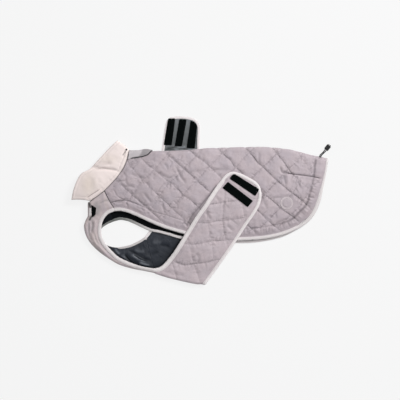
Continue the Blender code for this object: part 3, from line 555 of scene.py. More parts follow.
CHEST_CREASES = [
    ([(-243, -44), (-242, -58), (-244, -76)], 1.7, 2.6, 0.7),
    ([(-236, -40), (-235, -60), (-237, -82)], -1.2, 3.0, 0.0),
    ([(-249, -47), (-250, -63), (-248, -81), (-241, -97)], 1.4, 2.8, 0.6),
    ([(-237, -70), (-234, -88), (-226, -104)], 1.1, 2.4, 0.4),
    ([(-246, -88), (-236, -103), (-222, -117), (-206, -129)], 1.2, 2.6, 0.45),
    ([(-240, -5), (-232, -12), (-230, -24), (-234, -38)], 0.4, 11.0, 0.6),
    ([(-196, 0), (-214, -2), (-231, -11)], 1.0, 2.8, 0.45),
    ([(-245, -50), (-238, -74), (-232, -94), (-220, -112), (-205, -126)], -0.8, 3.6, 0.0)]
LINING_CREASES = [
    ([(-170, -119), (-162, -131), (-150, -141), (-136, -148)], 2.2, 3.0, 1.2),
    ([(-164, -111), (-142, -122), (-124, -132), (-108, -135)], 1.4, 2.8, 0.7),
    ([(-151, -122), (-133, -133), (-117, -137)], 1.4, 2.4, 0.9),
    ([(-157, -122), (-140, -130), (-122, -139)], -1.8, 4.6, -0.5),
    ([(-178, -122), (-168, -136), (-154, -146)], -1.2, 6.0, -0.4),
    ([(-192, -108), (-186, -116), (-180, -124)], -1.2, 4.0, -0.5),
    ([(-138, -139), (-124, -145), (-110, -148)], -1.4, 5.0, -0.8),
    ([(-110, -97), (-97, -95), (-86, -98)], -1.0, 7.0, -0.15),
    ([(-150, -112), (-136, -116), (-124, -115)], -1.0, 6.0, -0.2),
    ([(-90, -101), (-78, -102), (-68, -105)], 1.0, 4.0, 0.6),
    ([(-112, -124), (-102, -118), (-92, -117)], 1.0, 4.0, 0.5),
    ([(-80, 121), (-66, 122), (-56, 119)], -1.2, 2.4, -0.9),
    ([(-76, 117), (-62, 118), (-52, 120)], 1.4, 2.2, 1.0),
    ([(-82, 113), (-70, 114.5), (-56, 112)], 1.2, 2.0, 0.9),
    ([(-54, 120), (-42, 118.5), (-32, 118.5)], -1.4, 2.6, -1.4),
    ([(-52, 115), (-38, 114.5), (-24, 115)], 1.2, 2.0, 0.8),
    ([(-60, 113.5), (-46, 112), (-34, 112)], -1.0, 2.0, -0.9),
    ([(-33, 118), (-24, 114), (-14, 112.5)], -1.2, 2.4, -1.3)]
COLLAR_CREASES = [
    ([(-248, 70), (-236, 76), (-223, 79), (-209, 81), (-196, 83)], 1.8, 6.0, 0.30),
    ([(-240, 69), (-220, 70.5), (-205, 70), (-194, 68), (-182, 66)], 1.5, 3.0, 0.55),
    ([(-235, 74), (-218, 76), (-200, 75)], -1.6, 3.2, 0.0),
    ([(-241, 52), (-243, 36), (-248, 22)], 1.2, 7.0, 0.16),
    ([(-230, 50), (-225, 36)], 0.8, 4.0, 0.12),
    ([(-165.5, 110.5), (-168.5, 107.5), (-171.5, 103), (-174, 99)], 1.3, 2.4, 1.1),
    ([(-256, 3.6), (-252.5, 6.6), (-240, 14), (-222, 26)], 1.2, 2.0, 0.95),
    ([(-207, 101), (-212, 88)], 0.6, 4.0, 0.1)]
COLLAR_TOPSTITCH = [(-169, 108), (-170, 99), (-178, 79), (-184, 65), (-198, 48), (-214, 33),
                    (-223, 24), (-238, 12), (-254, 2)]


def wave(run, seed):
    """An uneven ripple along a seam, from -1 to 1."""
    total = 0.0 * run
    for k, length in enumerate((6.3, 8.9, 12.7, 19.0)):
        strength, start = math.sin(seed * 1.7 + k), seed * 2.3 + k * 1.9
        total = total + strength * np.sin(2 * np.pi * run / length + start)
    return total / 1.9


def pressed_in(x, y, creases):
    """Height and painted shade that a list of creases gives; where the shade is below zero it is a
    painted highlight.
    """
    height, dark = 0.0 * x, 0.0 * x
    for points, depth, width, darkness in creases:
        path = smooth(points, 8)
        signed, along = nearest(x, y, path)
        whole = length_along(path)[-1]
        taper = 0.25 * whole + 1.0
        fade = ease((along + 1.0) / taper) * ease((whole - along + 1.0) / taper)
        lips = 0.35 * depth * falling(np.abs(signed) - 2.2 * width, width) * fade
        fade = fade * np.where((along <= 0) | (along >= whole), 0.4, 1.0)
        height = height - depth * falling(signed, width) * fade + lips
        found = darkness * falling(signed, 0.62 * width) * fade
        dark = np.where(np.abs(found) > np.abs(dark), found, dark)
    return height, dark


def wrinkled(x, y, rows, seed, count):
    """Height and painted shade of short creases that start at rows of stitches and run off them."""
    chance = np.random.default_rng(seed)
    height, dark = 0.0 * x, 0.0 * x
    for _ in range(count):
        row = smooth(rows[chance.integers(len(rows))], 6)
        share = chance.uniform(0.02, 0.96)
        start, way = at(row, share), at(row, share + 0.03) - at(row, share)
        turn = math.radians(chance.uniform(35, 110)) * chance.choice([-1, 1])
        way = unit(way)
        way = np.array([way[0] * math.cos(turn) - way[1] * math.sin(turn),
                        way[0] * math.sin(turn) + way[1] * math.cos(turn)])
        length, bend = chance.uniform(6, 23), chance.uniform(-0.2, 0.2)
        side = np.array([-way[1], way[0]])
        path = np.array([start - way * 2, start + way * length * 0.5 + side * length * bend,
                         start + way * length])
        depth, width = chance.uniform(0.35, 1.1), chance.uniform(1.1, 2.1)
        darkness = chance.uniform(0.1, 0.6)
        close = np.hypot(x - path[1, 0], y - path[1, 1]) < length * 0.5 + 9
        if not close.any():
            continue
        signed, along = nearest(x[close], y[close], path)
        fade = ease((along + 2) / 5) * (1 - ease((along - 0.35 * length) / (0.7 * length)))
        height[close] += depth * fade * (0.6 * falling(signed - 2.0 * width, 1.5 * width)
                                         - falling(signed, width))
        dark[close] = np.maximum(dark[close], darkness * fade * falling(signed, 0.7 * width))
    return height, dark


def sampled(pattern, x, y, seed, scale):
    """What a noise pattern gives at many places: one number or several at each."""
    found = np.array([pattern(Vector((float(a), float(b), seed)))
                      for a, b in zip(x.ravel() / scale, y.ravel() / scale)])
    return found.reshape(*x.shape, *found.shape[1:])


def two_nearest(place):
    return noise.voronoi(place)[0][:2]


def crumple(x, y, seed, scale):
    """Facets of lightly crumpled cloth, from about -0.5 to 0.5."""
    return sampled(two_nearest, x, y, seed, scale)[..., 0] - 0.45


def creased_net(x, y, seed, scale, width):
    """1 along the lines of a loose net of creases, falling away beside them."""
    found = sampled(two_nearest, x, y, seed, scale)
    return falling((found[..., 1] - found[..., 0]) * scale, width)


def unevenness(x, y, seed, scale):
    """Broad soft unevenness, from -1 to 1."""
    return sampled(noise.noise, x, y, seed, scale)


print("creases:", sum(map(len, (BACK_CREASES, FLAP_CREASES, CHEST_CREASES, LINING_CREASES,
                                COLLAR_CREASES))))

# %% [markdown]
# ## From a grid to a cloth wall
#
# A real wall of cloth has an outside, a lining and a rim. Solidify can make one, but here the two
# sides differ: the outside is puffed and the lining nearly smooth. So both skins are laid off from
# the middle surface, each by its own distance, and joined round the rim.


# %% Mesh helpers
def add_piece(name, vertices, faces, materials, slots=None, maps=None, values=None):
    """A mesh object from millimetres, with UV maps and plain numbers stored on its points."""
    data = bpy.data.meshes.new(name)
    data.from_pydata((np.asarray(vertices, float) * MM).tolist(), [], [list(f) for f in faces])
    data.update()
    for made in materials:
        data.materials.append(made)
    if slots is not None:
        data.polygons.foreach_set("material_index", np.asarray(slots, np.int32))
    corners = np.zeros(len(data.loops), np.int32)
    data.loops.foreach_get("vertex_index", corners)
    for title, places in (maps or {}).items():
        layer = data.uv_layers.new(name=title)
        layer.data.foreach_set("uv", np.asarray(places, np.float32)[corners].ravel())
    for title, numbers in (values or {}).items():
        layer = data.attributes.new(title, "FLOAT", "POINT")
        layer.data.foreach_set("value", np.asarray(numbers, np.float32))
    data.shade_smooth()
    return placed(name, data)


def volume_of(vertices, faces):
    """Six times the volume inside a closed mesh: below zero if its faces point in."""
    total = 0.0
    vertices = np.asarray(vertices, float)
    for k in range(1, len(faces[0]) - 1):
        a, b, c = (vertices[[f[i] for f in faces]] for i in (0, k, k + 1))
        total += float((a * np.cross(b, c)).sum())
    return total


def cloth_wall(name, panel, out, back_out, materials, maps, values, slot_of=None):
    """A closed wall: the outside lies out from the middle surface, the lining lies the other way."""
    points, normals = panel["points"], panel["normals"]
    rows, columns = points.shape[:2]
    count = rows * columns
    outer = (points + normals * out[..., None]).reshape(-1, 3)
    inner = (points - normals * back_out[..., None]).reshape(-1, 3)
    index = np.arange(count).reshape(rows, columns)
    a, b = index[:-1, :-1].ravel(), index[:-1, 1:].ravel()
    c, d = index[1:, 1:].ravel(), index[1:, :-1].ravel()
    top, bottom = np.column_stack([a, d, c, b]), np.column_stack([a, b, c, d]) + count
    rim = np.concatenate([index[0], index[1:, -1], index[-1, -2::-1], index[-2:0:-1, 0]])
    after = np.roll(rim, -1)
    sides = np.column_stack([rim, after, after + count, rim + count])
    faces = np.vstack([top, bottom, sides])
    vertices = np.vstack([outer, inner])
    if volume_of(vertices, faces) < 0:
        faces = faces[:, ::-1]
    slots = np.concatenate([np.zeros(len(top)), np.ones(len(bottom)), np.ones(len(sides))])
    if slot_of is not None:
        slots[len(top):len(top) + len(bottom)] = slot_of[:-1, :-1].ravel()
    both = {title: np.vstack([m.reshape(-1, 2)] * 2) for title, m in maps.items()}
    numbers = {title: np.concatenate([v[0].ravel(), v[1].ravel()]) for title, v in values.items()}
    return add_piece(name, vertices, faces, materials, slots, both, numbers)


# %% [markdown]
# ## Materials
#
# Every finish is built from nodes, so it has no picture behind it. A cloth reads the piece's own
# flat map, in metres, so its weave has its real size and follows the cloth round its folds.


# %% Node helpers
def new_material(name, colour, roughness, **more):
    made = bpy.data.materials.new(name)
    made.use_nodes = True
    shader = made.node_tree.nodes["Principled BSDF"]
    shader.inputs["Base Color"].default_value = (*colour, 1.0)
    shader.inputs["Roughness"].default_value = roughness
    for socket, value in more.items():
        shader.inputs[socket.replace("_", " ")].default_value = value
    return made


def add_node(made, kind, links=None, **settings):
    """A node with settings, and links from input names to sockets or plain values."""
    node = made.node_tree.nodes.new(kind)
    for key, value in settings.items():
        setattr(node, key, value)
    for key, source in (links or {}).items():
        socket = node.inputs[key]
        if isinstance(source, bpy.types.NodeSocket):
            made.node_tree.links.new(source, socket)
        else:
            socket.default_value = source
    return node


def maths(made, operation, *values):
    return add_node(made, "ShaderNodeMath", dict(enumerate(values)), operation=operation).outputs[0]


def times(made, first, *others):
    """A value multiplied by the others, one after another."""
    for other in others:
        first = maths(made, "MULTIPLY", first, other)
    return first


def map_on(made, title):
    return add_node(made, "ShaderNodeUVMap", uv_map=title).outputs["UV"]


def stored(made, title):
    """A plain number that is stored on the points of the piece."""
    return add_node(made, "ShaderNodeAttribute", attribute_name=title).outputs["Fac"]


def vector_maths(made, operation, *values):
    return add_node(made, "ShaderNodeVectorMath", dict(enumerate(values)), operation=operation).outputs


def parts_of(made, vector):
    return list(add_node(made, "ShaderNodeSeparateXYZ", {0: vector}).outputs)


def mottle(made, place, scale, detail, **more):
    """Soft noise from 0 to 1, with features about 1 / scale metres across."""
    return add_node(made, "ShaderNodeTexNoise",
                    {"Vector": place, "Scale": scale, "Detail": detail, **more}).outputs[0]


def ranged(made, value, *limits):
    """A value taken from one range to another: low and high before, low and high after."""
    return add_node(made, "ShaderNodeMapRange",
                    {"Value": value, **dict(enumerate(limits, 1))}).outputs[0]


def tone(colour, share=1.0):
    """A colour with each part multiplied by a share, and an alpha of 1."""
    return (*(share * part for part in colour), 1.0)


def cells(made, place, scale, randomness):
    """Distance to the middle of the nearest cell, as in cracked or crumpled stuff."""
    return add_node(made, "ShaderNodeTexVoronoi", {"Vector": place, "Scale": scale,
                                                   "Randomness": randomness}).outputs["Distance"]


def mixed_colour(made, factor, first, second):
    return add_node(made, "ShaderNodeMix", {0: factor, 6: first, 7: second},
                    data_type="RGBA").outputs[2]


def bumps(made, *layers):
    """Bumps one on another: each has a height, a strength and a distance in metres."""
    under = {}
    for height, strength, distance in layers:
        node = add_node(made, "ShaderNodeBump", {"Height": height, "Strength": strength,
                                                 "Distance": distance, **under})
        under = {"Normal": node.outputs["Normal"]}
    return under["Normal"]


def finish_material(made, colour, normal, **more):
    shader = made.node_tree.nodes["Principled BSDF"]
    for socket, source in {"Base Color": colour, "Normal": normal, **more}.items():
        made.node_tree.links.new(source, shader.inputs[socket.replace("_", " ")])
    return made


def weave(made, place, threads):
    """Height of a plain weave: two crossing waves, with this many threads a metre."""
    parts = parts_of(made, vector_maths(made, "MULTIPLY", place, (threads,) * 3)[0])
    along, across = (maths(made, "SINE", times(made, part, 2 * math.pi)) for part in parts[:2])
    return times(made, along, across)


# %% [markdown]
# ### Quilted shell
#
# The shell is a crisp polyester that crinkles where it is stitched down. The rows of stitches come
# from the quilting numbers: near a whole number the cloth dips and a thread shows, broken into
# stitches about 3 mm long. The dips, the short crinkles beside the rows and the stored shade are
# painted darker, as painted shade. Finer crinkles come from cell noise, which has the flat facets
# and sharp valleys of crumpled cloth, where soft noise would look like clay.

# %% Quilted shell
ROW_SPACING, STITCH_LENGTH, HALF_THREAD = 42.0, 3.1, 0.32


def bell(made, value, width):
    """What falling gives for numbers, made of nodes."""
    part = maths(made, "DIVIDE", value, width)
    return maths(made, "POWER", 2.718, times(made, part, part, -1.0))


def stitched_rows(made, first_strength, second_strength):
    """Valley, thread, pucker and nearness of both sets of quilting rows, from the map named quilt."""
    place = map_on(made, "quilt")
    parts, clear = parts_of(made, place), stored(made, "clear_rows")
    found = []
    for own, other, strength in ((0, 1, first_strength), (1, 0, second_strength)):
        value, run = parts[own], parts[other]
        strength = times(made, clear, strength)
        off = maths(made, "ABSOLUTE", maths(made, "SUBTRACT", value, maths(made, "ROUND", value)))
        off = times(made, off, ROW_SPACING)
        fade = ranged(made, mottle(made, place, 1.6, 2.0), 0.36, 0.62, 0.2, 1.05)
        fade = times(made, fade, strength)
        stitch = maths(made, "FRACT", times(made, run, ROW_SPACING / STITCH_LENGTH))
        thread = times(made, maths(made, "LESS_THAN", off, HALF_THREAD),
                       maths(made, "LESS_THAN", stitch, 0.72))
        slip = times(made, mottle(made, place, 5.0, 2.0), 15.0)
        gathers = maths(made, "SINE", maths(made, "ADD", times(made, run, ROW_SPACING * 1.05), slip))
        pucker = times(made, gathers, times(made, bell(made, off, 5.0), fade))
        found.append((times(made, bell(made, off, 1.15), fade), thread, pucker,
                      times(made, bell(made, off, 8.0), strength)))
    return [maths(made, "ADD" if k == 2 else "MAXIMUM", *(rows[k] for rows in found)) for k in range(4)]


def shell_material(name, colour, tint, first_strength, second_strength, seams=(), dark=None):
    made = new_material(name, colour, 0.54, Sheen_Weight=0.18, Sheen_Roughness=0.5,
                        Specular_IOR_Level=0.45)
    place = map_on(made, "cloth")
    valley, thread, pucker, close = stitched_rows(made, first_strength, second_strength)
    dark = dark or tone(colour, 0.34)[:3]
    patches = ranged(made, mottle(made, place, 34.0, 4.0), 0.34, 0.66)
    base = mixed_colour(made, patches, tone(colour), tone(tint))
    ticks = maths(made, "SUBTRACT", mottle(made, place, 62.0, 1.5, Distortion=1.4), 0.5)
    where = ranged(made, mottle(made, place, 48.0, 1.0), 0.5, 0.62)
    crinkle_with_painted_shade = times(made, bell(made, ticks, 0.022), where, maths(made, "ADD", close, 0.12))
    # Painted shade: the crinkles, the quilting dips and the stored shade mix the cloth towards dark,
    # the colour of painted shade.
    for darkness, share in ((crinkle_with_painted_shade, 0.5), (valley, 0.72), (stored(made, "shade"), 0.72)):
        base = mixed_colour(made, times(made, darkness, share), base, tone(dark))
    depth = times(made, valley, -1.0)
    for title, width, strength in seams:
        off, on = parts_of(made, map_on(made, title))[:2]
        line = times(made, bell(made, off, width), on)
        base = mixed_colour(made, times(made, line, strength), base, tone(dark, 0.25))
        depth = maths(made, "SUBTRACT", depth, line)
    base = mixed_colour(made, times(made, thread, 0.3), base, tone(colour, 0.7))
    folds = mottle(made, place, 85.0, 4.0, Roughness=0.6, Distortion=0.6)
    return finish_material(made, base, bumps(
        made, (cells(made, place, 120.0, 1.0), 0.2, 0.0018), (folds, 0.32, 0.002),
        (pucker, 0.6, 0.0009), (times(made, crinkle_with_painted_shade, -1.0), 0.6, 0.0008), (depth, 0.85, 0.0012),
        (thread, 0.5, 0.0003), (weave(made, place, 1800.0), 0.25, 0.00012)))


shell = shell_material(
    "quilted_shell_cloth", (0.475, 0.41, 0.445), (0.51, 0.43, 0.455), 0.9, 0.5,
    [("casing_seam", 2.4, 0.5), ("dart_seam", 0.9, 0.75), ("front_seam", 1.2, 0.3),
     ("neck_seam", 1.0, 0.95)])
flap_shell = shell_material(
    "flap_shell_cloth", (0.51, 0.44, 0.47), (0.54, 0.455, 0.48), 0.38, 0.25)
chest_shell = shell_material(
    "chest_shell_cloth", (0.50, 0.43, 0.455), (0.55, 0.465, 0.46), 0.0, 0.0,
    [("neck_seam", 0.8, 0.98)], (0.15, 0.16, 0.15))
print("shell cloths:", shell.name, flap_shell.name, chest_shell.name)

# %% [markdown]
# ### Lining
#
# The lining is a thin satin. It has no pile, so its folds are painted: painted shade in the valleys
# and painted highlights on the ridges. The belly is lined in slate, and the flap ends are faced in a
# paler grey. The back's lining is near black, as painted shade deep under the near side.


# %% Lining
def lining_material(name, colour, roughness):
    """Satin with painted shade where the stored shade is above zero and a painted highlight where it is
    below.
    """
    made = new_material(name, colour, roughness, Sheen_Weight=0.04, Specular_IOR_Level=0.3)
    place, shade = map_on(made, "cloth"), stored(made, "shade")
    patches = mottle(made, place, 30.0, 3.0)
    base = mixed_colour(made, patches, tone(colour, 0.75), tone(colour, 1.3))
    # A painted highlight where the stored shade is below zero, then painted shade towards black where
    # it is above.
    base = mixed_colour(made, times(made, shade, -0.8), base, tone((0.30, 0.32, 0.36)))
    base = mixed_colour(made, times(made, shade, 0.85), base, tone((0.003, 0.004, 0.005)))
    # Painted shade also takes gloss away.
    gloss_lost_in_painted_shade = times(made, maths(made, "MAXIMUM", shade, 0.0), 0.27)
    folds = mottle(made, place, 60.0, 4.0, Distortion=1.2)
    return finish_material(made, base, bumps(
        made, (folds, 0.5, 0.002), (weave(made, place, 2200.0), 0.2, 0.0001)),
        Specular_IOR_Level=maths(made, "SUBTRACT", 0.3, gloss_lost_in_painted_shade))


slate_lining = lining_material("slate_lining", (0.019, 0.023, 0.033), 0.45)
# The back's lining is near black as painted shade: it shows only deep under the near side.
back_lining_in_painted_shade = lining_material("back_lining_in_painted_shade", (0.005, 0.006, 0.006), 0.8)
grey_facing = lining_material("grey_facing", (0.13, 0.14, 0.143), 0.55)
print("linings:", slate_lining.name, back_lining_in_painted_shade.name, grey_facing.name)

# %% [markdown]
# ### Binding
#
# The edges are wrapped in a soft knit tape. Its map runs along the tape and round it, so fine ribs
# cross it and one row of stitches follows its inner edge, as the machine leaves them.


# %% Binding
RIB, TAPE_STITCH, STITCH_ROW = 0.0011, 0.0031, 0.10


def binding_material(name, colour):
    made = new_material(name, colour, 0.7, Sheen_Weight=0.3, Sheen_Roughness=0.6,
                        Specular_IOR_Level=0.3)
    place = map_on(made, "cloth")
    run, turn = parts_of(made, place)[:2]
    ribs = maths(made, "SINE", times(made, run, 2 * math.pi / RIB))
    off = maths(made, "ABSOLUTE", maths(made, "SUBTRACT", turn, STITCH_ROW))
    row = maths(made, "POWER", 2.718, times(made, maths(made, "POWER", off, 2.0), -900.0))
    stitch = maths(made, "FRACT", maths(made, "DIVIDE", run, TAPE_STITCH))
    dip = times(made, row, maths(made, "SUBTRACT", 1.3, maths(made, "LESS_THAN", stitch, 0.7)))
    patches = mottle(made, place, 45.0, 3.0)
    base = mixed_colour(made, patches, tone(colour, 0.9), tone(colour, 1.06))
    base = mixed_colour(made, times(made, dip, 0.3), base, tone(colour, 0.5))
    # Painted shade: the tape turns grey where it lies in shade, most of all under the near side.
    base = mixed_colour(made, stored(made, "shade"), base, tone((0.115, 0.125, 0.115)))
    return finish_material(made, base, bumps(
        made, (mottle(made, place, 160.0, 2.0), 0.3, 0.0012), (times(made, dip, -1.0), 0.6, 0.0008),
        (ribs, 0.2, 0.00012)))


binding_cloth = binding_material("knit_binding", (0.86, 0.80, 0.80))
print("binding cloth:", binding_cloth.name)

# %% [markdown]
# ### Collar cloth
#
# The collar is a brushed, suede-like cloth. Its short nap scatters light, which the sheen gives,
# and it is a little mottled where the nap lies different ways. Shaded parts of its puffed form get a
# darker beige tint as painted shade, and the stored shade darkens its creases as painted shade and
# its stitching and seams.


# %% Collar cloth
def nap_material(name, colour, warm):
    made = new_material(name, colour, 0.9, Sheen_Weight=0.45, Sheen_Roughness=0.4,
                        Specular_IOR_Level=0.2)
    place = map_on(made, "cloth")
    patches = mottle(made, place, 34.0, 4.0, Distortion=0.4)
    nap = mottle(made, place, 900.0, 3.0)
    base = mixed_colour(made, patches, tone(colour, 0.95), tone(colour, 1.04))
    # Painted shade: a darker beige tint on shaded parts; the stored shade darkens creases, stitching
    # and seams.
    base = mixed_colour(made, stored(made, "warm"), base, tone(warm))
    base = mixed_colour(made, times(made, nap, 0.12), base, tone(colour, 0.7))
    base = mixed_colour(made, stored(made, "shade"), base, tone(colour, 0.42))
    return finish_material(made, base, bumps(made, (patches, 0.25, 0.003), (nap, 0.35, 0.0003)))


collar_cloth = nap_material("brushed_collar_cloth", (0.94, 0.825, 0.795), (0.76, 0.66, 0.58))
print("collar cloth:", collar_cloth.name)

# %% [markdown]
# ### Small finishes
#
# The hook tape is a field of tiny hooks, so it gets a dense cell pattern and almost no gloss. The
# placket is a plain twill a little lighter than the shell, the cord a braid, and the toggle, the
# eyelet and the snap are moulded plastic.

# %% Small finishes
hook_tape = new_material("hook_tape_black", (0.002, 0.003, 0.003), 0.95, Specular_IOR_Level=0.0)
place = map_on(hook_tape, "cloth")
hooks = cells(hook_tape, place, 1100.0, 0.35)
lint = times(hook_tape, mottle(hook_tape, place, 160.0, 4.0), 0.06)
base = mixed_colour(hook_tape, hooks, tone((0.0035, 0.005, 0.005)), tone((0.001, 0.002, 0.002)))
base = mixed_colour(hook_tape, lint, base, tone((0.030, 0.028, 0.027)))
finish_material(hook_tape, base, bumps(hook_tape, (hooks, 0.5, 0.0005)))

placket_cloth = new_material("placket_twill", (0.50, 0.465, 0.48), 0.6, Sheen_Weight=0.1)
place = map_on(placket_cloth, "cloth")
patches = mottle(placket_cloth, place, 60.0, 3.0)
base = mixed_colour(placket_cloth, patches, tone((0.49, 0.45, 0.47)), tone((0.61, 0.56, 0.575)))
# Painted shadow of the slot and painted shade, mixed towards black.
base = mixed_colour(placket_cloth, stored(placket_cloth, "shade"), base, tone((0.008, 0.008, 0.009)))
finish_material(placket_cloth, base, bumps(
    placket_cloth, (patches, 0.3, 0.002), (weave(placket_cloth, place, 1400.0), 0.3, 0.0002)))

braid = new_material("braided_cord", (0.006, 0.006, 0.007), 0.7, Specular_IOR_Level=0.15)
run, turn = parts_of(braid, map_on(braid, "cloth"))[:2]
run, turn = maths(braid, "DIVIDE", run, 0.0016), times(braid, turn, 4.0)
strands = [maths(braid, "SINE", times(braid, maths(braid, way, run, turn), 6.2832))
           for way in ("ADD", "SUBTRACT")]
braid_height = maths(braid, "MAXIMUM", *strands)
# Painted shade between the strands: the braid is darker where it is low.
base = mixed_colour(braid, braid_height, tone((0.003, 0.003, 0.004)), tone((0.014, 0.014, 0.016)))
finish_material(braid, base, bumps(braid, (braid_height, 0.6, 0.0003)))

plastic = new_material("moulded_black_plastic", (0.006, 0.006, 0.007), 0.42, Specular_IOR_Level=0.25)
place = add_node(plastic, "ShaderNodeTexCoord").outputs["Object"]
rub = mottle(plastic, place, 220.0, 3.0)
base = mixed_colour(plastic, rub, tone((0.004, 0.004, 0.005)), tone((0.012, 0.012, 0.014)))
finish_material(plastic, base, bumps(plastic, (mottle(plastic, place, 1400.0, 3.0), 0.25, 0.0002)),
                Roughness=ranged(plastic, rub, 0.0, 1.0, 0.34, 0.56))
print("materials:", len(bpy.data.materials))

# %% [markdown]
# ## The back panel
#
# This is the largest piece: it covers both sides of the dog and folds along the spine. It is
# puffed between its rows of quilting, lies flat where other pieces press on it, and is squeezed
# thin where the binding grips it. The underside is pressed flat by the table.

# %% Helpers for the panels
PUFF, PUFF_SLOPE = 2.0, 3.6


def puffed(off_down, off_up, strength_down, strength_up):
    """Height of the wadding between rows, by how far a place is from each set of rows."""
    down, up = (1 - strength * np.exp(-(off / PUFF_SLOPE) ** 1.4)
                for off, strength in ((off_down, strength_down), (off_up, strength_up)))
    return PUFF * (down * up - 0.35)


def edge_distance(x, y, *outlines):
    """How far each place is from the nearest of some outlines."""
    return np.min([np.abs(nearest(x, y, smooth(points))[0]) for points in outlines], axis=0)


def off_edges(panel, near_outlines, far_outlines):
    """How far each place is from the edges of its own side."""
    near, far = (edge_distance(panel["x"], panel["y"], *outlines)
                 for outlines in (near_outlines, far_outlines))
    return np.where(panel["near"], near, far)


def gripped(grip, least):
    """Half the cloth's thickness, squeezed to a least share of it where the grip is 0."""
    return HALF_CLOTH * (least + (1 - least) * grip)


def neck_seam_map(off, on):
    """A seam at a panel's edge as a map for the material, on the sides where it shows."""
    return np.dstack([np.clip(off, 0.0, 20.0), on + 0.0 * off])


def seam_map(panel, points, ends=6.0):
    """How far off a seam each place is, the length along it, and both as a map for the material."""
    path = smooth(points)
    off, run = nearest(panel["x"], panel["y"], path)
    on = ease(run / ends) * ease((length_along(path)[-1] - run) / ends) * panel["near"]
    return off, run, np.dstack([np.clip(off, -20.0, 20.0), on])


def beside_near_flap(x, y, dark):
    """Painted shade on the lining, deepest in the shadow of the near flap's bound edge and of the near
    leg binding.
    """
    off, off_leg = (np.maximum(edge_distance(x, y, points) - 8.0, 0.0)
                    for points in (NEAR_FLAP_FRONT, LEG_NEAR))
    edge = np.maximum(falling(off, 3.6), 0.8 * falling(off_leg, 3.0))
    dark = dark + 0.4 * (1 - ease(off / 30.0))
    return dark + (1.0 - dark) * edge


print("a puff between rows rises", round(PUFF * 0.65, 2), "mm")

# %% Back panel: rows and puffs
x, y, is_near = back["x"], back["y"], back["near"]
loose = 1 - ease((x + 70.0) / 110.0)
astray_x, astray_y = ((0.6 + 0.6 * loose) * unevenness(x, y, seed, 15.0) for seed in (21.0, 22.0))
rows_down, off_down = rows_between(x + astray_x, y + astray_y, BACK_ROWS_DOWN)
rows_up, off_up = rows_between(x - astray_y, y + astray_x, BACK_ROWS_UP)
faint = ease((rows_down - 6.4) / 0.3) * ease((x - 203.0) / 12.0)
clear_rows = 0.38 + 0.27 * ease((x + 110.0) / 90.0) + 0.35 * ease((x - 20.0) / 110.0)
clear_rows = clear_rows * (1 - 0.75 * faint)
ripple = (0.5 * wave(rows_up * ROW_SPACING, 1.0) * fading(off_down, 6.0)
          + 0.35 * wave(rows_down * ROW_SPACING, 2.0) * fading(off_up, 6.0))
held_down, held_up = (ease((unevenness(x, y, seed, 24.0) + 0.12) / 0.35) for seed in (31.0, 32.0))
height = puffed(off_down, off_up, 1 - loose * (0.45 - 0.45 * held_down) - 0.7 * faint,
                0.75 - loose * (0.2 - 0.4 * held_up) - 0.4 * faint) + ripple
height = height + (1.4 - 0.7 * loose) * crumple(x, y, 3.1, 17.0)
height = height + (0.7 - 0.3 * loose) * crumple(x, y, 7.7, 8.5)
net = creased_net(x + 2 * astray_x, y + 2 * astray_y, 5.5, 34.0, 2.4) * loose
net = net * ease((unevenness(x, y, 33.0, 20.0) + 0.05) / 0.3)
height = height - 1.2 * net + 0.9 * unevenness(x, y, 1.0, 55.0)
crease_height, shade = pressed_in(x, y, BACK_CREASES)
small_height, small_shade = wrinkled(x, y, BACK_ROWS_DOWN + BACK_ROWS_UP, 11, 260)
height = height + crease_height + (1 - 0.4 * loose) * small_height
# Painted shade in the creases, the small wrinkles and the net of creases.
shade = np.max([shade, small_shade, 0.3 * net ** 2], axis=0)
print("back before its seams: from", round(float(height.min()), 1), "to",
      round(float(height.max()), 1), "mm")

# %% Back panel: casing, dart and topstitching
TACK = (194.0, 61.0)
casing_off, casing_run, casing_map = seam_map(back, CASING)
in_casing = (casing_off > 0) == (casing_off[-1, 10] > 0)
gather = np.where(in_casing, falling(np.abs(casing_off) - 6.0, 7.0), 0.8 * fading(casing_off, 5.0))
gather = gather * (0.25 + 0.75 * ease((52.0 - y) / 30.0))
height = height + 0.95 * gather * wave(casing_run, 3.0) - 1.3 * falling(casing_off, 2.8)
casing_map[..., 1] *= (0.55 + 0.45 * ease((26.0 - y) / 30.0)) * ease((y + 64.0) / 22.0)
dart_off, _, dart_map = seam_map(back, DART)
height = height - 1.3 * falling(dart_off, 2.2) + 0.4 * falling(np.abs(dart_off) - 5, 3)
tack_x, tack_y = x - TACK[0], y - TACK[1]
tack = np.hypot(tack_x, tack_y)
height = height + 0.8 * falling(tack, 9.0) * np.sin(4 * np.arctan2(tack_y, tack_x) + 0.8)
top_off, top_run, top_map = seam_map(back, FRONT_TOPSTITCH)
top_held = 0.35 + 0.65 * (1 - ease((top_run - 60.0) / 50.0))
height = height - 0.8 * top_held * falling(top_off, 2.4)
height = height + 0.35 * wave(top_run, 5.0) * fading(top_off, 4.0)
top_map[..., 1] *= top_held
in_fold = ease((np.abs(casing_off) - 1.0) / 4.0) * in_casing
in_channel = in_fold * ease((40.0 - y) / 30.0) * ease((x - 60.0) / 40.0)
# The shade gets a dark spot at the tack, and painted shade in the fold of the casing channel.
shade = np.max([shade, 1.1 * falling(tack, 2.8), 0.16 * in_channel], axis=0)
clear_rows = clear_rows * (1 - 0.6 * in_fold)
print("casing, dart and topstitching drawn on the back")

# %% Back panel: what lies on it
BESIDE_FLAP = [(36, 31), (26, 18), (14, 3), (-1, -15), (-16, -32), (-24, -46)]
ABOVE_TIP = [(126, 38), (134, 26), (142, 16)]
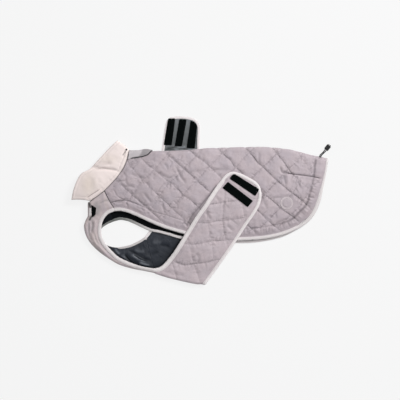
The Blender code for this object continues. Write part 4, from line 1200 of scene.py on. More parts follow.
# Painted shadow beside the near flap: a dark crease along it, a shaded wedge between it and the flap,
# and a little painted shade in the dip above the flap's tip.
beside_flap, flap_run = nearest(x, y, smooth(BESIDE_FLAP))
flap_edge_painted_shadow = (0.5 + 0.3 * ease((flap_run - 60.0) / 30.0)) * ease(beside_flap / 2.0)
flap_edge_painted_shadow = flap_edge_painted_shadow * (1 - ease((beside_flap - 7.0) / 7.0)) * ease((flap_run - 20.0) / 20.0)
above_tip = edge_distance(x, y, ABOVE_TIP)
height = height - 1.5 * falling(beside_flap, 3.4) - 1.2 * falling(above_tip, 4.5)
shade = np.max([shade, 1.15 * falling(beside_flap, 2.0), flap_edge_painted_shadow,
                0.25 * falling(above_tip, 4.0)], axis=0)
under_flap = np.vstack([smooth(NEAR_FLAP_FRONT), smooth(NEAR_FLAP_TIP)[1:],
                        smooth(NEAR_FLAP_BACK)[::-1][1:]])
flattened = cover(x, y, under_flap, 12.0)
placket_zone = ease((x + 168) / 6) * ease((-98 - x) / 8) * ease((y - 84) / 8)
on_patch = np.hypot(x - PATCH_CENTRE[0], y - PATCH_CENTRE[1])
on_patch = 1 - ease((on_patch - PATCH_RADIUS) / 6.0)
height = height * (1 - 0.75 * np.maximum(flattened, placket_zone)) * (1 - on_patch) + 0.5 * on_patch
height = np.clip(height, -1.6, 3.4)
print("back:", round(float(height.min()), 1), "to", round(float(height.max()), 1), "mm")

# %% Back panel: the wall
to_edge = off_edges(back, [HEM_NEAR, RUMP_NEAR, NECK_NEAR, SHOULDER_NEAR],
                    [HEM_FAR, RUMP_FAR, NECK_FAR, SHOULDER_FAR])
grip = ease(to_edge / 9.0)
near_out = gripped(grip, 0.62) + height * grip
far_out = gripped(grip, 0.8) - 0.9 * falling(np.minimum(off_down, off_up), 2.2) * grip
side = 0.5 + 0.5 * np.sin(back["angle"])
out = np.where(is_near, side * near_out + (1 - side) * HALF_CLOTH, far_out)
out = np.where(np.abs(back["angle"]) < 1.5, HALF_CLOTH + (near_out - HALF_CLOTH) * side, out)
lining_out = gripped(grip, 0.7) + 0.5 * unevenness(x, y, 9.0, 22.0) * grip
# The lining side gets painted shade all over.
values = {"shade": (np.where(is_near, shade, 0.0), 0.9 + 0.0 * x),
          "clear_rows": (clear_rows, clear_rows)}
maps = {"cloth": back["flat"] * MM, "quilt": np.dstack([rows_down, rows_up]),
        "neck_seam": neck_seam_map(edge_distance(x, y, NECK_NEAR, SHOULDER_NEAR), is_near),
        "casing_seam": casing_map, "dart_seam": dart_map, "front_seam": top_map}
back_cloth = cloth_wall("back_cloth", back, out, lining_out, [shell, back_lining_in_painted_shade], maps, values)
print("back:", len(back_cloth.data.polygons), "faces")

# %% [markdown]
# ## The chest panel
#
# A narrow yoke runs from the throat round the front legs to the belly seam. It isn't quilted, so
# it only has long soft folds that run with the pull of the cloth.

# %% Chest panel
DARK_SEAMS = [(SHOULDER_NEAR, 0.8), (NECK_THROAT, 1.6),
              ([(-239, -35), (-245, -39), (-247.5, -44)], 3.4),
              ([(-248, -8), (-247, -12.5), (-246, -16)], 3.2)]
x, y, is_near = chest["x"], chest["y"], chest["near"]
crease_height, shade = pressed_in(x, y, CHEST_CREASES)
height = 0.5 + crease_height + 0.8 * crumple(x, y, 3.1, 21.0) + 0.9 * unevenness(x, y, 2.0, 26.0)
height = np.clip(height + 0.5 * unevenness(x, y, 12.0, 11.0), -1.4, 2.4)
grip = ease(off_edges(chest, [LEG_NEAR, SHOULDER_NEAR, NECK_THROAT],
                      [LEG_FAR, SHOULDER_FAR, NECK_THROAT_FAR]) / 7.0)
turned = np.sin(np.maximum(chest["angle"], 0.0))
out = np.where(is_near, gripped(grip, 0.62) + height * grip * turned, gripped(grip, 0.8))
lining_height, lining_shade = pressed_in(x, y, LINING_CREASES)
lining_height = (lining_height + 0.9 * unevenness(x, y, 5.0, 16.0)) * grip
lining_out = np.clip(gripped(grip, 0.7) + np.where(is_near, 0.0, lining_height), 0.4, 3.4)
# Painted shade on the lining: dark at the top of the leg opening, and beside the near flap and the near
# leg binding.
leg_hole_painted_shade = np.maximum(lining_shade, ease((y + 92.0) / 22.0))
lining_shade = beside_near_flap(x, y, np.where(y > -95.0, leg_hole_painted_shade, lining_shade))
seam_off = np.min([edge_distance(x, y, points) / width for points, width in DARK_SEAMS], axis=0)
values = {"shade": (np.where(is_near, shade, 0.0), np.where(is_near, 0.0, lining_shade)),
          "clear_rows": (0.0 * x, 0.0 * x)}
maps = {"cloth": chest["flat"] * MM, "quilt": np.dstack([0.5 + 0.0 * x, 0.5 + 0.0 * x]),
        "neck_seam": neck_seam_map(seam_off, is_near)}
chest_cloth = cloth_wall("chest_cloth", chest, out, lining_out, [chest_shell, slate_lining],
                         maps, values)
print("chest:", len(chest_cloth.data.polygons), "faces")

# %% [markdown]
# ## The belly band
#
# The band closes round the belly: the near flap lies folded up over the back with its hook strips
# on show, and the far flap sticks out past the spine with its lining side up. The cloth lies flat
# under every strip, because the strip is sewn down all round.

# %% Belly band
x, y, is_near = band["x"], band["y"], band["near"]
rows_across, off_across = rows_between(x, y, FLAP_ROWS_ACROSS)
rows_flap_up, off_flap_up = rows_between(x, y, FLAP_ROWS_UP)
far_a, off_a = even_rows(x, y, 42.0, ROW_SPACING, 2.0)
far_b, off_b = even_rows(x, y, -45.0, ROW_SPACING, 2.0)
crease_height, shade = pressed_in(x, y, FLAP_CREASES)
small_height, small_shade = wrinkled(x, y, FLAP_ROWS_ACROSS + FLAP_ROWS_UP, 23, 70)
ripple = (0.4 * wave(rows_flap_up * ROW_SPACING, 4.0) * fading(off_across, 7.0)
          + 0.3 * wave(rows_across * ROW_SPACING, 6.0) * fading(off_flap_up, 7.0))
height = puffed(off_across, off_flap_up, 0.85, 0.6) + ripple + 0.8 * small_height + crease_height
height = height + 1.1 * crumple(x, y, 4.4, 18.0) + 0.5 * crumple(x, y, 8.1, 8.5)
height = height + 0.7 * unevenness(x, y, 3.0, 50.0)
under_strips, on_far_strips = (np.max([cover(x, y, np.array(tape), margin) for tape in tapes], axis=0)
                               for tapes, margin in ((NEAR_TAPES, 9.0), (FAR_TAPES, 5.0)))
height = np.clip(height * (1 - under_strips) + 0.15 * under_strips, -1.5, 3.0)
shade = np.where(is_near, np.maximum(shade, small_shade) * (1 - under_strips), 0.0)
grip = ease(off_edges(band, [NEAR_FLAP_FRONT, NEAR_FLAP_TIP, NEAR_FLAP_BACK],
                      [FAR_FLAP_FRONT, FAR_FLAP_TIP, FAR_FLAP_BACK]) / 8.0)
turned = np.sin(np.maximum(band["angle"], 0.0))
far_out = gripped(grip, 0.8) - 0.8 * falling(np.minimum(off_a, off_b), 2.2) * grip
out = np.where(is_near, gripped(grip, 0.62) + height * grip * turned, far_out)
print("near flap:", round(float(height.min()), 1), "to", round(float(height.max()), 1), "mm")

# %% Belly band: lining and wall
FACING_FROM = 62.0
FACING_SHADES = [(62, 0.0), (118, 0.0), (126, 0.25), (145, 0.14), (158, 0.03), (172, -0.16),
                 (185, -0.3)]
lining_height, lining_shade = pressed_in(x, y, LINING_CREASES)
lining_height = (lining_height + 0.9 * unevenness(x, y, 5.0, 16.0)) * (1 - on_far_strips)
lining_out = gripped(grip, 0.7) + np.where(is_near, -0.3, lining_height) * grip
lining_out = np.clip(lining_out, 0.4, 3.4)
# Painted shade on the lining beside the near flap; the grey facing gets darker near its root and
# lighter towards its tip.
lining_shade = beside_near_flap(x, y, lining_shade) * (1 - on_far_strips)
faced = (~is_near) & (y > FACING_FROM)
lining_shade = (np.where(is_near, 0.0, lining_shade)
                + np.where(faced, np.interp(y, *zip(*FACING_SHADES)), 0.0))
values = {"shade": (shade, lining_shade), "clear_rows": (1 - 0.9 * under_strips, 0.0 * x)}
unstitched = is_near & (under_strips > 0.5)
rows_across = np.where(unstitched, np.floor(rows_across) + 0.5, rows_across)
maps = {"cloth": band["flat"] * MM,
        "quilt": np.dstack([np.where(is_near, rows_across, far_a),
                            np.where(is_near, rows_flap_up, far_b)])}
belly_band_cloth = cloth_wall(
    "belly_band_cloth", band, out, lining_out, [flap_shell, slate_lining, grey_facing],
    maps, values, np.where(faced, 2, 1))
print("band:", len(belly_band_cloth.data.polygons), "faces")

# %% [markdown]
# ## The collar
#
# The collar is two layers of brushed cloth turned out at the rim, so it has a full, rounded edge
# and no binding. A row of topstitching runs near the neck seam and another inside the rim.

# %% Collar
x, y, is_near = collar["x"], collar["y"], collar["near"]
rim = off_edges(collar, [COLLAR_RIM, COLLAR_END], [COLLAR_RIM_FAR, COLLAR_END_FAR])
to_neck = off_edges(collar, [NECK_NEAR, COLLAR_THROAT], [NECK_FAR, COLLAR_THROAT_FAR])
crease_height, shade = pressed_in(x, y, COLLAR_CREASES)
stitch_off, stitch_run = nearest(x, y, smooth(COLLAR_TOPSTITCH))
rim_row = np.abs(rim - 6.5)
height = 1.1 + crease_height + 1.2 * unevenness(x, y, 4.0, 34.0) + 0.4 * unevenness(x, y, 14.0, 13.0)
height = height - 0.9 * falling(stitch_off, 1.8) - 0.5 * falling(rim_row, 1.6)
height = height + 0.45 * wave(stitch_run, 2.0) * fading(stitch_off, 5.0)
round_rim = np.sqrt(np.clip(1 - (1 - np.clip(rim / 4.0, 0, 1)) ** 2, 0.02, 1.0))
into_seam = 0.55 + 0.45 * ease(to_neck / 5.0)
turned = np.sin(np.maximum(collar["angle"], 0.0))
near_out = (HALF_CLOTH + np.clip(height, -1.5, 3.0) * turned) * round_rim * into_seam
out = np.where(is_near, near_out, HALF_CLOTH * round_rim)
lining_out = HALF_CLOTH * round_rim * np.where(is_near, 1.0, into_seam)
# Painted shade in the creases; the stitching, the rim row and the neck seam are darkened, and the
# collar darkens towards its lower end.
shade = np.max([shade, 0.19 * (1 - ease((y - 10.0) / 60.0)), 0.22 * falling(stitch_off, 1.1),
                0.16 * falling(rim_row, 1.1), 0.85 * falling(to_neck, 1.3)], axis=0)
# Painted shade: a darker beige tint on two shaded parts of the puffed collar.
warm = np.maximum(0.75 * falling(x + 250, 16) * falling(y - 34, 26),
                  0.45 * falling(x + 207, 22) * falling(y - 92, 10))
values = {title: (np.where(is_near, numbers, 0.0), 0.0 * x)
          for title, numbers in (("shade", shade), ("warm", warm))}
brushed_collar = cloth_wall("brushed_collar", collar, out, lining_out,
                            [collar_cloth, collar_cloth], {"cloth": collar["flat"] * MM}, values)
print("collar:", len(brushed_collar.data.polygons), "faces")

# %% [markdown]
# ## Bound edges
#
# A binding is a strip folded over the raw edge. A bevelled curve would give a round pipe, but tape
# is flatter and fuller on its inner side. So a rounded profile is swept along the edge, facing the
# way the cloth faces at each step. The path is evened out first, so the tape runs smoothly.

# %% Binding pieces
TAPE_WIDTH, NARROW_TAPE = 8.1, 6.2
TAPE_PROFILE = [(-0.12, 1.35), (-0.06, 1.95), (0.1, 2.2), (0.42, 2.35), (0.7, 2.1), (0.91, 1.3),
                (1.0, 0.0), (0.91, -1.25), (0.69, -1.5), (0.37, -1.5), (0.07, -1.45), (-0.12, -1.2)]


def evened(points, normals, fit, step, window):
    """The same path at even steps, smoothed over a few of them."""
    count = max(8, int(length_along(points)[-1] / step))
    shares = np.linspace(0, 1, count)
    along = length_along(points) / length_along(points)[-1]
    path = at(points, shares)
    facing, fitted = (np.column_stack([np.interp(shares, along, column) for column in values.T])
                      for values in (normals, fit))
    weights = np.hanning(window + 2)[1:-1]
    weights /= weights.sum()
    half = window // 2
    for values in (path, facing, fitted):
        padded = np.vstack([values[:1]] * half + [values] + [values[-1:]] * half)
        calm = np.column_stack([np.convolve(column, weights, mode="valid") for column in padded.T])
        values[half:-half] = calm[half:-half]
    return path, unit(facing), fitted


def bound_edge(name, edge, facing, fit, seed):
    """Fit has a row for each place on the edge: where the tape starts and ends, fullness and shade."""
    path, normals, fit = evened(edge, facing, fit, 2.4, 5)
    out = unit(np.cross(unit(np.gradient(path, axis=0)), normals))
    if out[0, 1] > 0:
        out = -out
    run = length_along(path)
    fuller = 1 + 0.07 * wave(run * 0.6, seed) + 0.05 * wave(run * 1.7, seed + 1)
    turns = length_along(np.array(TAPE_PROFILE + TAPE_PROFILE[:1], float) * [TAPE_WIDTH, 1.0])
    start, end, full = fit[:, 0], fit[:, 1], fit[:, 2]
    rings = []
    for across, up in TAPE_PROFILE:
        reach = start + across * (end - start) * (1 + 0.03 * wave(run, seed))
        rings.append(path + out * reach[:, None]
                     + normals * (up * fuller * (full if up > 0 else 1.0))[:, None])
    rings = np.array(rings).transpose(1, 0, 2)
    rings[..., 2] = np.maximum(rings[..., 2], 0.0)
    count, sides = rings.shape[:2]
    index = np.arange(count * sides).reshape(count, sides)
    after = np.roll(index, -1, axis=1)
    corners = (index[:-1], after[:-1], after[1:], index[1:])
    faces = [tuple(f) for f in np.column_stack([corner.ravel() for corner in corners])]
    faces += [tuple(index[0])[::-1], tuple(index[-1])]
    vertices = rings.reshape(-1, 3)
    if volume_of(vertices, faces[:-2]) < 0:
        faces = [f[::-1] for f in faces]
    places = np.dstack([np.repeat(run[:, None], sides, 1) * MM,
                        np.repeat((turns[:-1] / turns[-1])[None], count, 0)])
    return add_piece(name, vertices, faces, [binding_cloth], maps={"cloth": places.reshape(-1, 2)},
                     values={"shade": np.repeat(fit[:, 3], sides)})


def same_way(normals):
    """The normals with each turned to the side of the one before it."""
    for k in range(1, len(normals)):
        if np.dot(normals[k], normals[k - 1]) < 0:
            normals[k:] = -normals[k:]
    return normals


def run_of(panel, part, start, end=TAPE_WIDTH, full=1.0, shade=0.0):
    """One stretch of an edge: its points, the way the cloth faces and how the tape fits there."""
    points = panel["edges"][part]
    fit = [np.broadcast_to(value, (len(points),)) for value in (start, end, full, shade)]
    return points, panel["normals"][part], np.column_stack(fit)


def sewn_round(name, runs, seed):
    """One tape along several stretches; the first of them runs along the lower side."""
    edge, facing, fit = (np.vstack([run[k] for run in runs]) for k in range(3))
    return bound_edge(name, edge, same_way(facing.copy()), fit, seed)


whole = slice(None)
far_shade = np.interp(back["edges"][-2::-1, -1, 0], [-197, -175, -150, -130, -110, -90, 60],
                      [0.95, 0.9, 0.75, 0.5, 0.3, 0.15, 0.0])
rump_end = np.interp(back["edges"][-1, 1:, 1], [-56, -45, -25, 0, 30, 60],
                     [8.6, 9.8, 10.4, 10.6, 9.0, TAPE_WIDTH])
back_edge = sewn_round("back_edge_binding", [
    run_of(back, (whole, 0), 1.4, shade=0.08),
    run_of(back, (-1, slice(1, None)), 2.6, rump_end, shade=0.17),
    run_of(back, (slice(-2, None, -1), -1), 2.6, shade=far_shade)], 1.0)

front_run = band["edges"][0]
near_start = next(j for j in range(band["fold_row"], 0, -1) if front_run[j, 1] > -161.0)
far_start = next(j for j in range(band["fold_row"], len(front_run)) if front_run[j, 1] > -93.0)
side_share = ease((np.arange(1, band["x"].shape[1]) - band["fold_row"]) / 12.0)
drawn_in = 2.3 * ease((band["edges"][0, near_start::-1, 1] + 45.0) / 35.0)
tip_drawn_in = 2.3 * (1 - ease(np.arange(1, band["x"].shape[0]) / 22.0))
hidden, at_seam = tucked[::-1], ease((leg_share[::-1] - 0.86) / 0.14)
leg_edge = sewn_round("leg_and_belly_binding", [
    run_of(chest, (whole, 0), 1.0, shade=0.09),
    run_of(band, (0, slice(near_start, None, -1)), -0.6 - drawn_in, TAPE_WIDTH - drawn_in,
           shade=0.03),
    run_of(band, (slice(1, None), 0), 1.8 - tip_drawn_in, TAPE_WIDTH - tip_drawn_in, 0.82),
    run_of(band, (-1, slice(1, None)), 1.8 - 0.6 * side_share, TAPE_WIDTH - 1.9 * side_share),
    run_of(band, (slice(-2, None, -1), -1), 1.2, NARROW_TAPE),
    run_of(band, (0, slice(-2, far_start - 1, -1)), 1.2, NARROW_TAPE),
    run_of(chest, (slice(None, None, -1), -1), 3.6 + 3.4 * hidden - 2.4 * at_seam,
           TAPE_WIDTH - 0.5 * hidden - 1.9 * at_seam, 1 - 0.5 * hidden,
           np.interp(leg_share[::-1], [0.0, 0.18, 0.42, 1.0], [0.95, 0.85, 0.4, 0.3]))], 2.0)
print("bindings:", len(back_edge.data.polygons), len(leg_edge.data.polygons), "faces")

# %% [markdown]
# ## Drawcord, toggle and eyelet
#
# An elastic cord runs through the rear casing and leaves it by an eyelet at the tail. Both of its
# ends show, and one toggle holds them. A cord has a fixed length, so its route is settled first:
# out of the eyelet, over the binding and down to the table. It is a curve with a round bevel.

# %% Drawcord
CORD_DIAMETER = 2.2
CORD_ROUTES = [
    [(268.2, 97.6, 13.4), (270.1, 101.5, 14.1), (273.1, 104.1, 10.9), (275.7, 106.5, 7.1),
     (278.3, 109, 3.4), (280.9, 113, 3.2), (284, 117.2, 3.2), (287.2, 121.2, 3.2), (290.3, 125.2, 3.2)],
    [(270.5, 95.8, 13.4), (272.4, 99.9, 14.1), (275, 102.6, 10.8), (277.6, 105, 7.1),
     (280.2, 107.4, 3.4), (283.6, 111, 3.2), (286.8, 114.9, 3.2), (290, 119, 3.2), (293.2, 123, 3.2)]]
cord_ends = []
for number, route in enumerate(CORD_ROUTES, 1):
    data = bpy.data.curves.new(f"drawcord_end_{number}", "CURVE")
    data.dimensions = "3D"
    data.bevel_depth = CORD_DIAMETER / 2 * MM
    data.bevel_resolution = 4
    data.use_fill_caps = True
    line = data.splines.new("POLY")
    places = at(smooth(route, 8), np.linspace(0, 1, 24))
    line.points.add(len(places) - 1)
    for spot, place in zip(line.points, places):
        spot.co = (*(float(v) * MM for v in place), 1.0)
    data.materials.append(braid)
    end = placed(f"drawcord_end_{number}", data)
    cord_ends.append((end, route[0]))
    print(end.name, "length", round(length_along(places)[-1], 1), "mm")

# %% [markdown]
# The toggle is moulded: a rounded block with two holes along it and three ribs to grip. It starts
# as a cube, gets its edges bevelled, and the holes are cut with a Boolean. The eyelet is a ring
# pressed into the cloth, so a thin torus is turned to face as the cloth does.


# %% Toggle and eyelet
def select_only(item):
    for other in bpy.context.selected_objects:
        other.select_set(False)
    item.select_set(True)
    bpy.context.view_layer.objects.active = item


def apply_modifiers(item):
    select_only(item)
    for modifier in list(item.modifiers):
        bpy.ops.object.modifier_apply(modifier=modifier.name)


def apply_all(item):
    apply_modifiers(item)
    bpy.ops.object.transform_apply(location=True, rotation=True, scale=True)


def box_at(name, centre, size, along, bevel, segments):
    select_only(camera)
    bpy.ops.mesh.primitive_cube_add(size=1.0, location=[v * MM for v in centre])
    item = bpy.context.object
    item.name = name
    item.scale = [v * MM for v in size]
    item.rotation_euler = (0.0, 0.0, math.atan2(along[1], along[0]))
    bpy.ops.object.transform_apply(location=False, rotation=False, scale=True)
    edges = item.modifiers.new("edges", "BEVEL")
    edges.width, edges.segments, edges.limit_method = bevel * MM, segments, "NONE"
    return item


TOGGLE_CENTRE = (286.8, 117.8, 3.2)
TOGGLE_ALONG = np.array([0.62, 0.785]) / math.hypot(0.62, 0.785)
TOGGLE_SIDE = np.array([TOGGLE_ALONG[1], -TOGGLE_ALONG[0]])
toggle = box_at("toggle_block", TOGGLE_CENTRE, (12.2, 10.2, 6.2), TOGGLE_ALONG, 1.4, 5)
for sign in (-1, 1):
    spot = np.array(TOGGLE_CENTRE[:2]) + TOGGLE_SIDE * sign * 1.8
    select_only(camera)
    bpy.ops.mesh.primitive_cylinder_add(vertices=24, radius=1.3 * MM, depth=20 * MM,
                                        location=(spot[0] * MM, spot[1] * MM, TOGGLE_CENTRE[2] * MM))
    drill = bpy.context.object
    drill.rotation_euler = Vector((*TOGGLE_ALONG, 0.0)).to_track_quat("Z", "Y").to_euler()
    cut = toggle.modifiers.new("hole", "BOOLEAN")
    cut.operation, cut.solver, cut.object = "DIFFERENCE", "EXACT", drill
    bpy.context.view_layer.update()
    apply_modifiers(toggle)
    bpy.data.objects.remove(drill, do_unlink=True)
apply_all(toggle)
toggle.data.materials.append(plastic)
bpy.ops.object.shade_smooth_by_angle(angle=math.radians(40))
ribs = []
for number, shift in enumerate((-2.4, 0.0, 2.4), 1):
    spot = np.array(TOGGLE_CENTRE[:2]) + TOGGLE_ALONG * shift
    rib = box_at(f"toggle_rib_{number}", (*spot, 6.05), (1.0, 5.6, 0.7), TOGGLE_ALONG, 0.3, 3)
    apply_all(rib)
    rib.data.materials.append(plastic)
    bpy.ops.object.shade_smooth_by_angle(angle=math.radians(40))
    ribs.append(rib)

EYELET_CENTRE = (268.9, 94.3, 11.9)
EYELET_NORMAL = Vector((0.165, 0.846, 0.507)).normalized()
eyelet_place = Vector(EYELET_CENTRE) + EYELET_NORMAL * 1.2
select_only(camera)
bpy.ops.mesh.primitive_torus_add(major_segments=48, minor_segments=14, major_radius=3.82 * MM,
                                 minor_radius=0.76 * MM, location=eyelet_place * MM,
                                 rotation=EYELET_NORMAL.to_track_quat("Z", "Y").to_euler())
eyelet_ring = bpy.context.object
eyelet_ring.name = "eyelet_ring"
apply_all(eyelet_ring)
eyelet_ring.data.materials.append(plastic)
bpy.ops.object.shade_smooth()
print("toggle faces:", len(toggle.data.polygons), "ribs:", len(ribs))

# %% [markdown]
# ## Hook tapes, tabs and pads
#
# Small flat pieces are cut from tape and sewn down all round, so each has rounded corners, a
# slightly sunk row of stitches just inside its edge, and a soft top edge. Rings of points that
# step in from the outline give all of this in one mesh that also follows the layer below.


# %% Flat sewn pieces
STITCHES_SUNK = 0.25


def rounded_outline(corners, radii, spacing):
    """An outline with rounded corners, anticlockwise, at even steps."""
    quad = np.array(corners, float)
    area = sum(a[0] * b[1] - b[0] * a[1] for a, b in zip(quad, np.roll(quad, -1, axis=0)))
    if area < 0:
        quad, radii = quad[::-1], radii[::-1]
    outline = []
    for k, radius in enumerate(radii):
        here = quad[k]
        back_step, next_step = unit(quad[k - 1] - here), unit(quad[(k + 1) % len(quad)] - here)
        half = math.acos(np.clip(np.dot(back_step, next_step), -1, 1)) / 2
        reach = radius / math.tan(half)
        centre = here + unit(back_step + next_step) * radius / math.sin(half)
        start, stop = here + back_step * reach - centre, here + next_step * reach - centre
        first, last = math.atan2(start[1], start[0]), math.atan2(stop[1], stop[0])
        while last < first:
            last += 2 * math.pi
        for angle in np.linspace(first, last, 6):
            outline.append(centre + radius * np.array([math.cos(angle), math.sin(angle)]))
    closed = np.array(outline + outline[:1])
    count = int(length_along(closed)[-1] / spacing)
    return at(closed, np.arange(count) / count)


def sewn_piece(name, corners, radii, level, low, high, made, seed, spacing=1.6, shade=0.0):
    """A flat piece with rounded corners, between two heights above the face of a layer."""
    outline = rounded_outline(corners, radii, spacing)
    low, high = HALF_CLOTH + low, HALF_CLOTH + high
    step = unit(np.roll(outline, -1, axis=0) - np.roll(outline, 1, axis=0))
    inward = np.column_stack([-step[:, 1], step[:, 0]])
    centre = outline.mean(axis=0)
    spreads, axes = np.linalg.eigh(np.cov((outline - centre).T))
    axis = axes[:, 1]
    run = (outline - centre) @ axis
    reach = np.abs(run).max() - np.sqrt(max(spreads[0], 1e-6)) * 1.2
    medial = centre + np.clip(run, -reach, reach)[:, None] * axis
    thick = high - low
    rings = [(0.5, low), (0.0, low + 0.25 * thick), (0.0, low + 0.7 * thick), (0.35, high - 0.08),
             (0.8, high), (1.35, high - STITCHES_SUNK), (1.9, high)]
    plan, heights = [outline + inward * inset for inset, _ in rings], [height for _, height in rings]
    for share in (0.25, 0.5, 0.75, 1.0):
        plan.append(plan[len(rings) - 1] * (1 - share) + medial * share)
        heights.append(high)
    plan = np.array(plan + [medial * 0.5 + outline * 0.5])
    x, y = plan[..., 0], plan[..., 1]
    z = level(x, y) + np.array(heights + [low])[:, None] + 0.25 * unevenness(x, y, seed, 9.0)
    count, last = len(outline), len(plan) - 1
    seat = float(level(*centre))
    vertices = np.vstack([np.dstack([plan, z]).reshape(-1, 3),
                          [[*centre, seat + high], [*centre, seat + low]]])
    middle, under = len(vertices) - 2, len(vertices) - 1
    faces = []
    for outer, inner in zip([last, *range(last - 1)], range(last)):
        for k in range(count):
            after = (k + 1) % count
            faces.append((outer * count + k, outer * count + after,
                          inner * count + after, inner * count + k))
    for k in range(count):
        after = (k + 1) % count
        faces.append(((last - 1) * count + k, (last - 1) * count + after, middle))
        faces.append((last * count + after, last * count + k, under))
    from_centre = vertices[:, :2] - centre
    places = np.column_stack([from_centre @ axis, from_centre @ [-axis[1], axis[0]]]) * MM
    return add_piece(name, vertices, faces, [made], maps={"cloth": places},
                     values={"shade": np.full(len(vertices), shade)})


near_strips = [
    sewn_piece(f"near_hook_strip_{number}", corners, radii, near_flap_level, 0.35, 1.7, hook_tape,
               number)
    for number, (corners, radii) in enumerate(zip(NEAR_TAPES, ([3.5, 5.5, 2.2, 1.6], [1.6] * 4)), 1)]
far_strips = [
    sewn_piece(f"far_hook_strip_{number}", corners, radii, floor_level, 0.3, 1.65, hook_tape,
               number + 4.0)
    for number, (corners, radii) in enumerate(zip(FAR_TAPES, (
        [2.0, 2.0, 1.4, 1.4], [2.0, 2.0, 1.4, 1.4], [1.8, 3.5, 5.0, 1.4, 1.4])), 1)]
throat_pad, throat_tab, collar_tab = (
    sewn_piece(name, corners, radii, chest_level, 0.3, high, made, seed, 0.9, shade)
    for name, corners, radii, high, made, seed, shade in (
        ("throat_hook_pad", [(-243.6, -10.6), (-232.8, -17.6), (-234.6, -33), (-242.6, -39.2)],
         [1.0, 1.0, 1.0, 0.8], 1.7, hook_tape, 9.0, 0.0),
        ("throat_tab_cloth", [(-249, -18), (-244, -18), (-244, -35), (-249, -37)],
         [0.7] * 4, 1.5, binding_cloth, 10.0, 0.3),
        ("collar_tab_cloth", [(-223.8, 24), (-219.2, 19.5), (-245.5, 1.4), (-252.6, 3.4)],
         [1.0] * 4, 1.5, collar_cloth, 11.0, 0.12)))
print("hook strips:", len(near_strips) + len(far_strips))

# %% [markdown]
# ## Leash placket
#
# A lip of plain cloth covers the opening for a leash on the nape. It is sewn over the spine fold
# behind the neck seam, narrows towards its end and stands up a little there. Its lower edge is an
# open slot, and the shadow in it is painted as a black line. The raised end is painted a darker
# grey as painted shade.

# %% Leash placket
PLACKET = [(1.0, 21.5), (7.4, 20.6), (25.0, 17.4), (34.0, 16.0), (41.0, 13.8), (46.0, 11.2),
           (50.2, 7.6), (54.0, 3.0)]
PLACKET_STEPS, PLACKET_ROUND_SPINE = (42, 34), 3.0
spine_run = back["flat"][:, back["fold_row"], 0]


def on_back(along, down):
    """Middle point and normal of the back at a distance along the spine and down the near side."""
    i = float(np.interp(along, spine_run, np.arange(len(spine_run))))
    low = int(min(i, len(spine_run) - 2))
    share = i - low
    found = []
    for values in (back["points"], back["normals"]):
        ends = []
        for k in (low, low + 1):
            across = back["flat"][k, :, 1]
            ends.append(np.array([np.interp(-down, across, values[k, :, c]) for c in range(3)]))
        found.append((1 - share) * ends[0] + share * ends[1])
    return found[0], unit(found[1])


grid = []
for along in np.linspace(PLACKET[0][0], PLACKET[-1][0], PLACKET_STEPS[0]):
    width = float(np.interp(along, *zip(*PLACKET)))
    for down in np.linspace(-PLACKET_ROUND_SPINE, width, PLACKET_STEPS[1]):
        place, normal = on_back(along, down)
        raised = 3.2 * falling(along - 39.0, 12.0) * falling(down - 1.0, 3.5)
        dip = 0.5 * falling(down - width + 3.6, 1.2)
        uneven = 0.5 * noise.noise(Vector((along / 9.0, down / 9.0, 3.0)))
        # Painted shadow of the slot along the lower edge; painted shade on the raised end and a dark
        # line at the neck seam.
        slot = math.exp(-((width - down) / 2.8) ** 6) * ease((along - 6) / 4)
        in_shade = 0.36 * ease((along - 31.0 + 0.6 * down) / 5.0) + 0.3 * falling(along - 1.0, 1.0)
        place = place + normal * (HALF_CLOTH + 1.5 + raised - dip + uneven)
        grid.append([*place, *normal, along, down, max(slot, in_shade)])
grid = np.array(grid).reshape(*PLACKET_STEPS, 9)
placket = {"points": grid[..., :3], "normals": grid[..., 3:6]}
thick = np.full(PLACKET_STEPS, 0.6)
placket_lip = cloth_wall("leash_placket_lip", placket, thick, thick, [placket_cloth] * 2,
                         {"cloth": grid[..., 6:8] * MM}, {"shade": [grid[..., 8]] * 2})
print("placket faces:", len(placket_lip.data.polygons))

# %% [markdown]
# ## Round patch and snap
#
# A plain round patch sits on the rump, in the shell's own colour. It is a cylinder with a bevelled
# edge and a sunk ring, made by insets, and then lowered onto the cloth. The snap on the nape is a
# small domed cap.

# %% Round patch
PATCH_INSETS = [(0.5, 0.16), (0.8, 0.0), (0.45, -0.5), (0.5, 0.0), (0.45, 0.5), (1.6, 0.05),
                (0.3, -0.25), (0.3, 0.25), (3.0, 0.05), (2.5, 0.0)]
PATCH_RINGS = [(14.7, 0.9, 0.8, (0.17, 0.15, 0.165)), (13.2, 0.75, 0.9, (0.85, 0.76, 0.77)),
               (12.0, 0.5, 0.6, (0.24, 0.21, 0.23)), (10.9, 0.6, 0.8, (0.80, 0.71, 0.72)),
               (9.9, 0.5, 0.5, (0.26, 0.22, 0.24))]
select_only(camera)
bpy.ops.mesh.primitive_cylinder_add(vertices=72, radius=PATCH_RADIUS * MM, depth=0.9 * MM,
                                    location=(PATCH_CENTRE[0] * MM, PATCH_CENTRE[1] * MM, 0.0))
patch = bpy.context.object
patch.name = "round_patch_disc"
bpy.ops.object.transform_apply(location=True, rotation=True, scale=True)
bpy.ops.object.mode_set(mode="EDIT")
bpy.ops.mesh.select_all(action="DESELECT")
bpy.ops.object.mode_set(mode="OBJECT")
for face in patch.data.polygons:
    face.select = face.normal.z > 0.9
bpy.ops.object.mode_set(mode="EDIT")
for inset, drop in PATCH_INSETS:
    bpy.ops.mesh.inset(thickness=inset * MM)
    bpy.ops.transform.translate(value=(0, 0, drop * MM))
bpy.ops.object.mode_set(mode="OBJECT")
